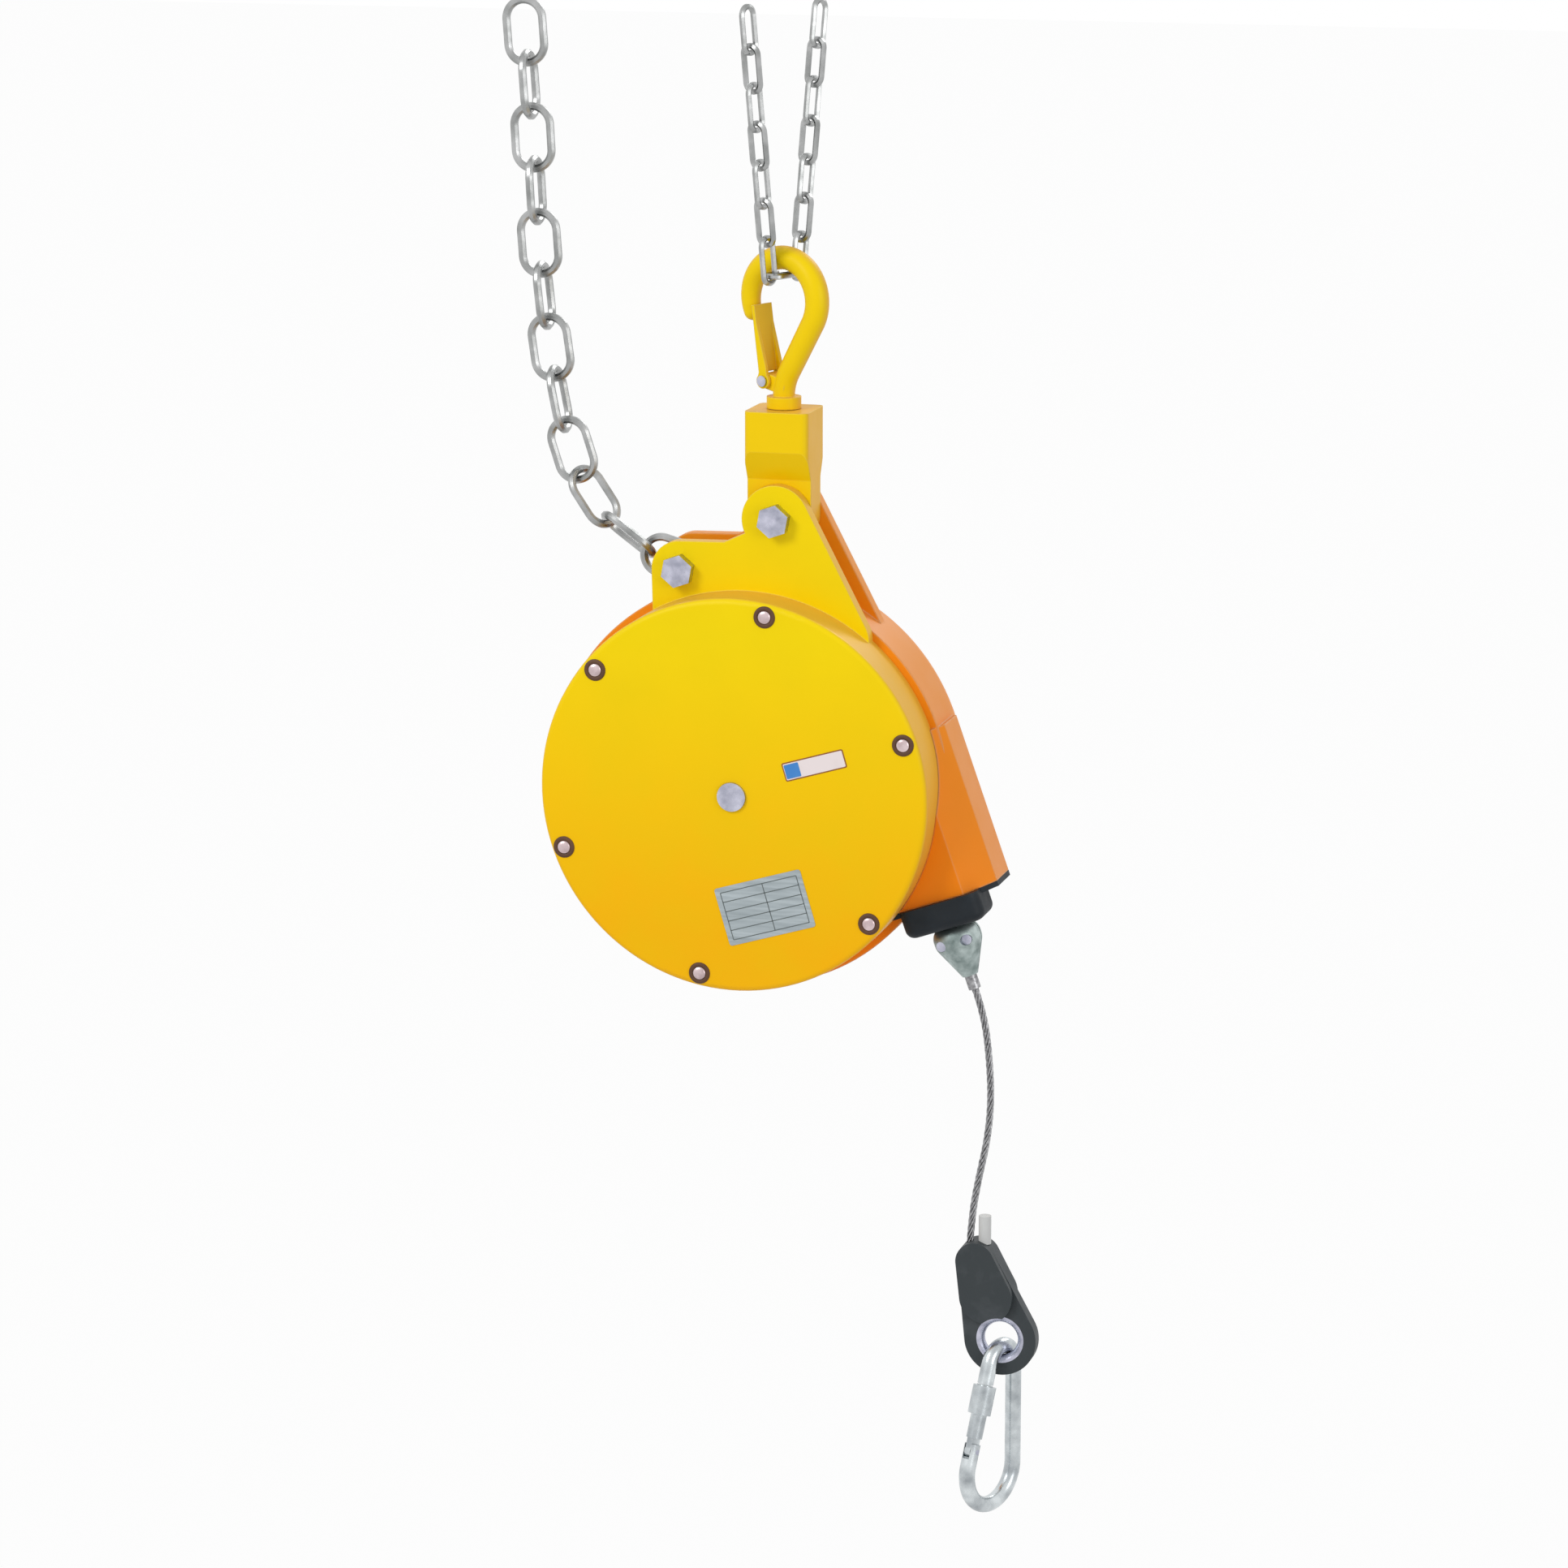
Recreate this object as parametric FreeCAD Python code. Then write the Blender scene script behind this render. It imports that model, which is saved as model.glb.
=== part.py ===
import FreeCAD, Part
import math
import os

from FreeCAD import Placement, Rotation, Vector

# Spring-driven tool balancer, millimetres, +Z up, disc faces towards -Y.
# Origin: the seat at the top of the hook's bowl, where the sling chain carries the balancer.

# ---------------------------------------------------------------- driving dimensions
# sling chain, which the hook hangs on
SLING_WIRE = 3.2
SLING_PITCH = 21.0
SLING_WIDTH = 12.8
SLING_LINKS = 7
SLING_SPREAD = 7.5
SLING_SIDES = 6

# safety chain, from the ears up to the building
SAFETY_WIRE = 4.5
SAFETY_PITCH = 28.9
SAFETY_WIDTH = 25.0
SAFETY_SIDES = 8
SAFETY_LEANS = (4, 4, 3, 3, 4, 6, 8, 11, 18, 34, 54, 74)
SAFETY_TWISTS = (0, 90, 0, 90, 0, 90, 0, 90, 0, 60, 118, 180)
SAFETY_SEAT_GAP = 0.6

# hook
HOOK_TURN = 23.0
HOOK_LIMB = 13.0
HOOK_TIP = 10.0
HOOK_BOWL = 16.5
HOOK_CROTCH = 62.0
HOOK_KNEE = 7.0
HOOK_SHANK = 12.0
HOOK_TIP_ANGLE = 200.0
COLLAR_DIAMETER = 19.0
COLLAR_HEIGHT = 6.5
LATCH_WIDTH = 15.0
LATCH_SHEET = 2.0
LATCH_PIN = 4.0
LATCH_LUG = 9.0
LATCH_EYE = 4.2
LATCH_CHEEK = 3.2
LATCH_WIDE_SHARE = 0.2
LATCH_CHEEK_SHARE = 0.8
PIN_HEAD = 1.0

# yoke
YOKE_TOP = 76.0
YOKE_WIDTH = 36.0
YOKE_DEPTH = 36.0
YOKE_TONGUE = 19.4
YOKE_SHOULDER = 22.0
YOKE_TAPER = 16.0
YOKE_ROOF = 12.0
NUT_POCKET = 17.0
NUT_POCKET_WIDTH = 25.0
HOOK_NUT_FLATS = 19.0
HOOK_NUT_HEIGHT = 10.0
THRUST_WASHER = 2.0
SPLIT_PIN = 2.5
SPLIT_PIN_PROUD = 0.6
THREAD_END = 2.0
YOKE_CORNER = 4.0
YOKE_BROW = 20.0
BUSH_WALL = 3.0

# housing, drawn upright about the drum axis and then hung from the pivot bolt
SHELL_RADIUS = 114.0
COVER_STEP = 4.0
RIM_WIDTH = 15.0
PIVOT_DROP = 135.0
HANG_TILT = 19.5
PIVOT_X = 66.5
PIVOT_RISE = 21.5
CHAIN_BOLT_X = 5.0
CHAIN_BOLT_RISE = 11.4
FRONT_DEPTH = 34.0
REAR_DEPTH = 52.0
PARTING_Y = -10.0
WALL = 5.0
FRONT_EDGE = 3.0
REAR_EDGE = 15.0
HUB_PAD = 5.0
EAR_GAP = 20.0
EAR_THICKNESS = 8.0
PIVOT_BOSS = 19.0
CHAIN_BOSS = 16.0
CHAIN_RECESS = 26.0
EAR_RIGHT_FOOT = (80.0, 16.0)
EAR_LEFT_FOOT = (-8.0, 14.0)
EAR_RIGHT_SINK = 52.0
EAR_LEFT_SINK = 22.0
EAR_NOTCH_X = 34.6
EAR_NOTCH_RISE = 18.5
EAR_SHOULDER_TURN = 19.3
EAR_BOLT = 10.0
EAR_BOLT_FLATS = 16.0
EAR_BOLT_HEAD = 6.4
EAR_NUT_HEIGHT = 8.0
EAR_BOLT_PROUD = 3.0
COVER_SCREWS = 6
COVER_SCREW_INSET = 7.5
COVER_SCREW = 6.0
COVER_SCREW_HEAD = 10.0
COVER_SCREW_DEPTH = 24.0
COVER_SCREW_SINK = 3.0
COVER_SCREW_PROUD = 0.5
COVER_SCREW_SOCKET = 5.0
COVER_SOCKET_DEPTH = 3.0

# outlet snout and rope
ROPE = 4.0
ROPE_Y = -6.0
DRUM_ROOM = 12.0
SNOUT_INNER = 29.0
SNOUT_OUTER = 32.0
SNOUT_FRONT = -22.0
SNOUT_REAR = 37.0
SNOUT_LIFT = 23.0
SNOUT_CHAMFER = 16.0
BUMPER_INNER = 23.0
BUMPER_OUTER = 24.0
BUMPER_FRONT = -26.0
BUMPER_REAR = 5.0
BUMPER_HEIGHT = 16.0
BUMPER_PLATE = 3.0
BUMPER_CORNER = 7.0
BUMPER_EDGE = 5.0
BUSH_OUTER = 20.0
BUSH_BORE = 7.0
BUSH_LENGTH = 16.0
BUSH_FUNNEL = 7.0

# drum, spring and axle
AXLE = 16.0
AXLE_PROUD = 1.5
DRUM_WRAPS = 5
WRAP_PITCH = 4.8
DRUM_FLANGE = 6.0
DRUM_WEB = 4.0
DRUM_HUB = 26.0
HUB_WALL = 4.0
DRUM_COVER_HUB = 4.0
SPRING_SIDE_GAP = 0.5
DRUM_RIM = 13.0
SPRING_INNER = 14.0
SPRING_TURNS = 5
SPRING_STEPS = 12
SPRING_STRIP = 1.6
BEARING_OUTER = 22.0
BEARING_WIDTH = 7.0
HUB_LENGTH = 9.0

# rope stop, rope and its end fitting
STOP_RADIUS = 13.5
STOP_LENGTH = 30.0
STOP_NECK = 4.5
STOP_SPLIT = 0.8
STOP_SCREW = 3.0
STOP_SCREW_SPACING = 15.0
FERRULE = 7.0
FERRULE_LENGTH = 8.0
STOP_SLOPE = 4.0
STOP_WIDEST = 11.0
STOP_CROWN_ROUND = 4.0
STOP_BELLY_ROUND = 8.0
STOP_SCREW_DROP = 9.0
STOP_SCREW_SEAT = 7.0
STOP_SCREW_BITE = 9.0
STOP_SCREW_HEAD = 3.0
ROPE_STRAIGHT = 16.0
# the places below are X and Z from the end of the ferrule
ROPE_ROUTE = ((8.33, -37.48), (9.83, -62.48), (7.83, -86.48), (2.83, -109.48),
              (-0.67, -130.48))
SOCKET_TOP = (2.83, -155.48)
SOCKET_EYE = (16.83, -200.48)
SOCKET_TOP_RADIUS = 11.0
SOCKET_EYE_RADIUS = 20.5
SOCKET_DEPTH = 16.0
SOCKET_EYE_DEPTH = 8.0
SOCKET_THICK_SHARE = 0.45
SOCKET_SWELL = 4.0
SOCKET_ROPE_X = -1.67
SOCKET_ROPE_HOLE = 20.0
TAIL_X = 6.83
TAIL_LENGTH = 16.0
TAIL_SLEEVE = 7.0
THIMBLE_HOLE = 9.5
SNAP_WIRE = 9.0
SNAP_LENGTH = 100.0
SNAP_TOP_BOW = 11.0
SNAP_LOW_BOW = 20.5
SNAP_TURN = 65.0
GATE_START = 12.0
GATE_END = 46.0
GATE_GAP = 0.5
GATE_PIN = 3.0
GATE_NECK = 3.4
GATE_SLOT = 8.5
GATE_PIVOT_INSET = 4.0
GATE_TONGUE_RELIEF = 0.6
RIVET_RECESS = 0.2
SLEEVE_OUTER = 13.0
SLEEVE_LENGTH = 16.0

# fits
FIT = 0.1
CLEAR = 0.3
LINK_GAP = 0.8


# ---------------------------------------------------------------- worked out once
COVER_RADIUS = SHELL_RADIUS - COVER_STEP
CAVITY_RADIUS = COVER_RADIUS - RIM_WIDTH
DRUM_RADIUS = CAVITY_RADIUS - DRUM_ROOM
ROPE_X = DRUM_RADIUS + ROPE / 2
SPRING_OUTER = DRUM_RADIUS - DRUM_RIM
COVER_SCREW_CIRCLE = COVER_RADIUS - COVER_SCREW_INSET
PIVOT_Z = SHELL_RADIUS + PIVOT_RISE
CHAIN_BOLT_Z = SHELL_RADIUS + CHAIN_BOLT_RISE
SNOUT_LEFT = ROPE_X - SNOUT_INNER
SNOUT_RIGHT = ROPE_X + SNOUT_OUTER
SNOUT_MOUTH = SHELL_RADIUS - SNOUT_LIFT
REAR_Y = PARTING_Y + REAR_DEPTH
FRONT_Y = PARTING_Y - FRONT_DEPTH
GRIP = EAR_GAP + 2 * EAR_THICKNESS
BOWL_Z = -HOOK_BOWL
HOOK_RADIUS = HOOK_BOWL + HOOK_LIMB / 2
X_AXIS = Vector(1, 0, 0)
Y_AXIS = Vector(0, 1, 0)
Z_AXIS = Vector(0, 0, 1)
PIVOT = Vector(0, 0, -PIVOT_DROP)


# ---------------------------------------------------------------- shape helpers
def rod(radius, start, direction, length):
    return Part.makeCylinder(radius, length, start, direction)


def fuse(first, *rest):
    return first.fuse(list(rest)).removeSplitter()


def turned(shape, degrees, axis, centre=Vector()):
    copy = shape.copy()
    copy.rotate(centre, axis, degrees)
    return copy


def moved(shape, offset):
    copy = shape.copy()
    copy.translate(offset)
    return copy


def hung(shape):
    """From the upright housing frame to the place where it hangs, tilted, on the pivot."""
    return turned(moved(shape, PIVOT - Vector(PIVOT_X, 0, PIVOT_Z)), -HANG_TILT, Y_AXIS, PIVOT)


def hung_point(x, y, z):
    point = Vector(x - PIVOT_X, y, z - PIVOT_Z)
    return PIVOT + Rotation(Y_AXIS, -HANG_TILT).multVec(point)


def outline(points, thickness_axis, start, thickness):
    """A prism over a closed outline of points, extruded along one axis from start."""
    face = Part.Face(Part.makePolygon([*points, points[0]]))
    return moved(face, thickness_axis * start).extrude(thickness_axis * thickness)


def belt(first, first_radius, second, second_radius, front, thickness):
    """The plate that a tight belt round two circles in the XZ plane would enclose."""
    span = second - first
    lean = math.acos((first_radius - second_radius) / span.Length)
    heading = math.atan2(span.z, span.x)
    corners = []
    for centre, radius, side in (
        (first, first_radius, 1),
        (second, second_radius, 1),
        (second, second_radius, -1),
        (first, first_radius, -1),
    ):
        angle = heading + side * lean
        corners.append(centre + Vector(math.cos(angle), 0, math.sin(angle)) * radius)
    band = outline(corners, Y_AXIS, front, thickness)
    ends = [rod(r, c + Y_AXIS * front, Y_AXIS, thickness)
            for c, r in ((first, first_radius), (second, second_radius))]
    return fuse(band, *ends)


def hexagon(flats, height, base, direction):
    """A hexagonal prism, such as a bolt head or a nut."""
    radius = flats / math.sqrt(3)
    corners = [Vector(radius * math.cos(k * math.pi / 3), radius * math.sin(k * math.pi / 3), 0)
               for k in range(6)]
    prism = outline(corners, Z_AXIS, 0, height)
    prism.Placement = Placement(base, Rotation(Z_AXIS, direction))
    return prism


def round_bar(points, radius):
    """A round bar along straight runs joined by the largest arcs that the runs allow."""
    wire, radii = rounded_route(points)
    start = wire.Edges[0].Vertexes[0].Point
    heading = wire.Edges[0].tangentAt(wire.Edges[0].FirstParameter)
    section = Part.Wire(Part.makeCircle(radius, start, heading))
    return wire.makePipeShell([section], True, False), wire, radii


def rounded_route(points):
    """Straight runs joined by tangent arcs, and the radius of each arc."""
    edges, radii = [], []
    here = points[0]
    for before, corner, after in zip(points, points[1:], points[2:]):
        towards, away = (before - corner), (after - corner)
        turn = math.pi - towards.getAngle(away)
        cut = 0.45 * min(towards.Length, away.Length)
        radius = cut / math.tan(turn / 2)
        towards.normalize()
        away.normalize()
        enter, leave = corner + towards * cut, corner + away * cut
        inwards = (towards + away).normalize()
        middle = corner + inwards * (radius / math.cos(turn / 2) - radius)
        edges += [Part.LineSegment(here, enter).toShape(), Part.Arc(enter, middle, leave).toShape()]
        radii.append(radius)
        here = leave
    edges.append(Part.LineSegment(here, points[-1]).toShape())
    return Part.Wire(edges), radii


def save(name, shape):
    if not shape.isValid() or not shape.Solids:
        raise ValueError(name + " is not a valid solid")
    shape.exportStep("parts/" + name + ".step")


# ---------------------------------------------------------------- chains
def chain_link(pitch, width, wire, sides):
    """An oval link about the origin, its long axis along Z, lying in the XZ plane."""
    bend = (width - wire) / 2
    crown = (pitch + LINK_GAP + wire) / 2
    straight = crown - bend
    ring = [Vector(bend + wire / 2 * math.cos(a), wire / 2 * math.sin(a), -straight)
            for a in (2 * math.pi * (k + 0.5) / sides for k in range(sides))]
    section = Part.Face(Part.makePolygon([*ring, ring[0]]))
    leg = section.extrude(Z_AXIS * 2 * straight)
    lower_bend = section.revolve(Vector(0, 0, -straight), Y_AXIS, 180)
    half = leg.fuse(lower_bend)
    return fuse(half, turned(half, 180, Y_AXIS))


def placed_link(link, centre, lean, twist):
    """A link twisted about its own length, then leaned in the XZ plane, top towards -X."""
    return moved(turned(turned(link, twist, Z_AXIS), -lean, Y_AXIS), centre)


def lean_vector(degrees):
    """The direction of a link's upper end when its top leans towards -X."""
    angle = math.radians(degrees)
    return Vector(-math.sin(angle), 0, math.cos(angle))


def sling_chain():
    """Two strands of links that rise on each side of the hook, and the link they share."""
    link = chain_link(SLING_PITCH, SLING_WIDTH, SLING_WIRE, SLING_SIDES)
    drop = HOOK_BOWL - math.sqrt((HOOK_BOWL - SLING_WIRE / 2 - CLEAR) ** 2
                                 - ((SLING_WIDTH - SLING_WIRE) / 2) ** 2)
    shared = moved(turned(link, 90, X_AXIS), Z_AXIS * -drop)
    pieces = {"sling_bottom_link": shared}
    crown = (SLING_PITCH + LINK_GAP + SLING_WIRE) / 2
    for name, side in (("sling_front_strand", -1), ("sling_rear_strand", 1)):
        upwards = Vector(0, side * math.sin(math.radians(SLING_SPREAD)),
                         math.cos(math.radians(SLING_SPREAD)))
        foot = Vector(0, side * crown, -drop) - upwards * (SLING_WIRE + LINK_GAP / 2)
        links = []
        for k in range(SLING_LINKS):
            centre = foot + upwards * (crown + k * SLING_PITCH)
            link_k = turned(link, 0 if k % 2 else 90, Z_AXIS)
            links.append(moved(turned(link_k, -side * SLING_SPREAD, X_AXIS), centre))
        pieces[name] = Part.makeCompound(links)
    return {name: turned(piece, -HOOK_TURN, Z_AXIS) for name, piece in pieces.items()}


def safety_chain():
    """Single links from the chain bolt in the ears up to the building."""
    link = chain_link(SAFETY_PITCH, SAFETY_WIDTH, SAFETY_WIRE, SAFETY_SIDES)
    bolt = hung_point(CHAIN_BOLT_X, 0, CHAIN_BOLT_Z)
    bore_end = (SAFETY_PITCH + LINK_GAP) / 2
    lean = SAFETY_LEANS[-1]
    centre = bolt + lean_vector(lean) * (bore_end - EAR_BOLT / 2 - SAFETY_SEAT_GAP)
    pieces = {}
    for number in range(len(SAFETY_LEANS), 0, -1):
        lean = SAFETY_LEANS[number - 1]
        twisted = placed_link(link, centre, lean, SAFETY_TWISTS[number - 1])
        pieces["safety_link_%02d" % number] = twisted
        if number > 1:
            above = SAFETY_LEANS[number - 2]
            centre = centre + (lean_vector(lean) + lean_vector(above)) * (SAFETY_PITCH / 2)
    return pieces


# ---------------------------------------------------------------- hook and yoke
def hook_point(angle, radius=HOOK_RADIUS):
    """A point round the bowl, angle in degrees from +X towards +Z."""
    a = math.radians(angle)
    return Vector(radius * math.cos(a), 0, BOWL_Z + radius * math.sin(a))


def hook_blank():
    """The bent bar: shank, right limb, bowl and tip, thickest where the load bends it."""
    reach = HOOK_CROTCH + BOWL_Z
    slope = math.degrees(math.asin(HOOK_RADIUS / reach))
    tangent = hook_point(-slope)
    knee = Vector(0, 0, -HOOK_CROTCH)
    up_limb = (tangent - knee).normalize()
    stem_start = Vector(0, 0, -YOKE_TOP)
    enter, leave = knee - Z_AXIS * HOOK_KNEE, knee + up_limb * HOOK_KNEE
    inside = (up_limb - Z_AXIS).normalize()
    half_turn = math.radians(slope) / 2
    radius = HOOK_KNEE / math.tan(half_turn)
    middle = knee + inside * (radius / math.cos(half_turn) - radius)
    path = Part.Wire([
        Part.LineSegment(stem_start, enter).toShape(),
        Part.Arc(enter, middle, leave).toShape(),
        Part.LineSegment(leave, tangent).toShape(),
        Part.Arc(tangent, hook_point(45), hook_point(90)).toShape(),
        Part.Arc(hook_point(90), hook_point(150), hook_point(HOOK_TIP_ANGLE)).toShape(),
    ])

    def section(diameter, place, heading):
        return Part.Wire(Part.makeCircle(diameter / 2, place, heading))

    tip_heading = Rotation(Y_AXIS, -HOOK_TIP_ANGLE).multVec(Z_AXIS)
    bar = path.makePipeShell([
        section(HOOK_SHANK, stem_start, Z_AXIS),
        section(HOOK_LIMB, tangent, up_limb),
        section(HOOK_LIMB, hook_point(90), -X_AXIS),
        section(HOOK_TIP, hook_point(HOOK_TIP_ANGLE), tip_heading),
    ], True, False)
    nose = Part.makeSphere(HOOK_TIP / 2, hook_point(HOOK_TIP_ANGLE))
    return bar.fuse(nose)


def latch_pivot():
    return Vector(-LATCH_LUG, 0, -HOOK_CROTCH + 1)


def hook():
    """Eye-less swivel hook: bent bar, collar, latch lug and the shank that the yoke holds."""
    pivot = latch_pivot()
    lug_half = LATCH_WIDTH / 2 - LATCH_SHEET - CLEAR
    lug = belt(pivot, LATCH_EYE, Vector(0, 0, pivot.z - 2), LATCH_EYE, -lug_half, 2 * lug_half)
    collar = rod(COLLAR_DIAMETER / 2, Z_AXIS * (CLEAR - YOKE_TOP), Z_AXIS, COLLAR_HEIGHT)
    shank_end = -YOKE_TOP - YOKE_ROOF - THRUST_WASHER - HOOK_NUT_HEIGHT - THREAD_END
    shank = rod(HOOK_SHANK / 2, Z_AXIS * shank_end, Z_AXIS, -YOKE_TOP - shank_end + 1)
    body = fuse(hook_blank(), lug, collar, shank)
    pin_hole = rod(LATCH_PIN / 2, pivot - Y_AXIS * LATCH_WIDTH, Y_AXIS, 2 * LATCH_WIDTH)
    nut_middle = shank_end + THREAD_END + HOOK_NUT_HEIGHT / 2
    split_hole = rod(SPLIT_PIN / 2, Vector(-HOOK_SHANK, 0, nut_middle), X_AXIS, 2 * HOOK_SHANK)
    return body.cut(pin_hole).cut(split_hole)


def hook_latch():
    """Folded sheet that spans from the lug to the inside of the hook's tip."""
    pivot = latch_pivot()
    rest = hook_point(HOOK_TIP_ANGLE, HOOK_RADIUS - HOOK_TIP / 2 - LATCH_SHEET - 2 * CLEAR)
    span = rest - pivot
    length = span.Length
    half = LATCH_WIDTH / 2
    sill = LATCH_EYE + 2 * CLEAR
    web = Part.makeBox(LATCH_SHEET, LATCH_WIDTH, length + 2 - sill, Vector(-LATCH_SHEET, -half, sill))
    cheeks = []
    for side in (-half, half - LATCH_SHEET):
        foot = rod(LATCH_EYE, Vector(0, side, 0), Y_AXIS, LATCH_SHEET)
        blade = outline([Vector(-LATCH_EYE, 0, 0), Vector(LATCH_CHEEK, 0, 0),
                         Vector(LATCH_CHEEK, 0, length * LATCH_WIDE_SHARE),
                         Vector(0, 0, length * LATCH_CHEEK_SHARE),
                         Vector(-LATCH_SHEET, 0, length * LATCH_CHEEK_SHARE), Vector(-LATCH_SHEET, 0, sill)],
                        Y_AXIS, side, LATCH_SHEET)
        cheeks += [foot, blade]
    blank = fuse(web, *cheeks)
    blank = blank.cut(rod(LATCH_PIN / 2 + FIT, Y_AXIS * -LATCH_WIDTH, Y_AXIS, 2 * LATCH_WIDTH))
    lean = math.degrees(math.atan2(span.x, span.z))
    return moved(turned(blank, lean, Y_AXIS), pivot)


def latch_pin():
    pivot = latch_pivot()
    half = LATCH_WIDTH / 2 + CLEAR
    shaft = rod(LATCH_PIN / 2, pivot - Y_AXIS * half, Y_AXIS, 2 * half)
    heads = [rod(LATCH_PIN / 2 + PIN_HEAD, pivot + Y_AXIS * y, Y_AXIS, PIN_HEAD)
             for y in (-half - PIN_HEAD, half)]
    return fuse(shaft, *heads)


def hook_nut():
    top = -YOKE_TOP - YOKE_ROOF - THRUST_WASHER
    nut = hexagon(HOOK_NUT_FLATS, HOOK_NUT_HEIGHT, Vector(0, 0, top - HOOK_NUT_HEIGHT), Z_AXIS)
    nut = nut.cut(rod(HOOK_SHANK / 2, Z_AXIS * (top + 1), -Z_AXIS, HOOK_NUT_HEIGHT + 2))
    middle = top - HOOK_NUT_HEIGHT / 2
    return nut.cut(rod(SPLIT_PIN / 2, Vector(-HOOK_NUT_FLATS, 0, middle), X_AXIS, 2 * HOOK_NUT_FLATS))


def hook_split_pin():
    middle = -YOKE_TOP - YOKE_ROOF - THRUST_WASHER - HOOK_NUT_HEIGHT / 2
    reach = HOOK_NUT_FLATS / math.sqrt(3) + SPLIT_PIN_PROUD
    return rod(SPLIT_PIN / 2, Vector(-reach, 0, middle), X_AXIS, 2 * reach)


def thrust_washer():
    base = Vector(0, 0, -YOKE_TOP - YOKE_ROOF - THRUST_WASHER)
    disc = rod(HOOK_NUT_FLATS / 2, base, Z_AXIS, THRUST_WASHER)
    return disc.cut(rod(HOOK_SHANK / 2 + FIT, base - Z_AXIS, Z_AXIS, THRUST_WASHER + 2))


def yoke():
    """Cast block: deep at the top for the swivel, tapering to the tongue between the ears."""
    half, tongue = YOKE_DEPTH / 2, YOKE_TONGUE / 2
    shoulder = -YOKE_TOP - YOKE_SHOULDER
    waist = shoulder - YOKE_TAPER
    foot = -PIVOT_DROP - YOKE_WIDTH / 2
    side = outline([Vector(0, -half, -YOKE_TOP), Vector(0, half, -YOKE_TOP), Vector(0, half, shoulder),
                    Vector(0, tongue, waist), Vector(0, tongue, foot), Vector(0, -tongue, foot),
                    Vector(0, -tongue, waist), Vector(0, -half, shoulder)],
                   X_AXIS, -YOKE_WIDTH / 2, YOKE_WIDTH)
    front = belt(PIVOT, YOKE_WIDTH / 2, Vector(0, 0, -YOKE_TOP - YOKE_BROW), YOKE_WIDTH / 2,
                 -half, YOKE_DEPTH)
    front = front.fuse(Part.makeBox(YOKE_WIDTH, YOKE_DEPTH, PIVOT_DROP - YOKE_TOP,
                                    Vector(-YOKE_WIDTH / 2, -half, -PIVOT_DROP)))
    block = side.common(front)
    upright = [e for e in block.Edges if abs(abs(e.tangentAt(e.FirstParameter).z) - 1) < 1e-6
               and e.BoundBox.ZMax > -YOKE_TOP - 1]
    block = block.makeFillet(YOKE_CORNER, upright)
    pocket_top = -YOKE_TOP - YOKE_ROOF
    pocket = Part.makeBox(NUT_POCKET_WIDTH, YOKE_DEPTH, NUT_POCKET,
                          Vector(-NUT_POCKET_WIDTH / 2, -NUT_POCKET_WIDTH / 2, pocket_top - NUT_POCKET))
    swivel_bore = rod(HOOK_SHANK / 2 + FIT, Vector(0, 0, pocket_top - 1), Z_AXIS, YOKE_ROOF + 2)
    pin_bore = rod(EAR_BOLT / 2 + BUSH_WALL, PIVOT - Y_AXIS * half, Y_AXIS, YOKE_DEPTH)
    return block.cut(pocket).cut(swivel_bore).cut(pin_bore)


def yoke_bush():
    start = PIVOT - Y_AXIS * (YOKE_TONGUE / 2)
    sleeve = rod(EAR_BOLT / 2 + BUSH_WALL, start, Y_AXIS, YOKE_TONGUE)
    return sleeve.cut(rod(EAR_BOLT / 2 + FIT, start - Y_AXIS, Y_AXIS, YOKE_TONGUE + 2))


# ---------------------------------------------------------------- housing
def disc(radius, front, thickness):
    """A round plate about the drum axis."""
    return rod(radius, Y_AXIS * front, Y_AXIS, thickness)


def circle_edges(shape, radius, y):
    """The circular edges about the drum axis with this radius at this depth."""
    return [e for e in shape.Edges if e.Curve.TypeId == "Part::GeomCircle"
            and abs(e.Curve.Radius - radius) < 1e-6 and abs(e.Curve.Center.y - y) < 1e-6]


def around(count, radius):
    """Equally spaced places round the drum axis, the first at the right."""
    for k in range(count):
        angle = 2 * math.pi * k / count
        yield Vector(radius * math.cos(angle), 0, radius * math.sin(angle))


def pivot_centre():
    return Vector(PIVOT_X, 0, PIVOT_Z)


def chain_bolt_centre():
    return Vector(CHAIN_BOLT_X, 0, CHAIN_BOLT_Z)


def ear_plate(front):
    """One cast ear: both bolt bosses and the web that runs down into the round body."""
    right_x, right_radius = EAR_RIGHT_FOOT
    left_x, left_radius = EAR_LEFT_FOOT
    right_foot = Vector(right_x, 0, SHELL_RADIUS - EAR_RIGHT_SINK)
    left_foot = Vector(left_x, 0, SHELL_RADIUS - EAR_LEFT_SINK)
    right = belt(pivot_centre(), PIVOT_BOSS, right_foot, right_radius, front, EAR_THICKNESS)
    left = belt(chain_bolt_centre(), CHAIN_BOSS, left_foot, left_radius, front, EAR_THICKNESS)
    notch = Vector(EAR_NOTCH_X, 0, SHELL_RADIUS + EAR_NOTCH_RISE)
    brow = Rotation(Y_AXIS, EAR_SHOULDER_TURN).multVec(Z_AXIS * CHAIN_BOSS)
    shoulder = chain_bolt_centre() + brow
    web = outline([shoulder, notch, pivot_centre(), right_foot, left_foot, chain_bolt_centre()],
                  Y_AXIS, front, EAR_THICKNESS)
    return fuse(web, right, left)


def ear_bores():
    front = -GRIP / 2 - 1
    return [rod(EAR_BOLT / 2, centre + Y_AXIS * front, Y_AXIS, GRIP + 2)
            for centre in (pivot_centre(), chain_bolt_centre())]


def rope_bore():
    start = Vector(ROPE_X, ROPE_Y, -SNOUT_MOUTH - 1)
    return rod(BUSH_OUTER / 2, start, Z_AXIS, SNOUT_MOUTH + 1)


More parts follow.
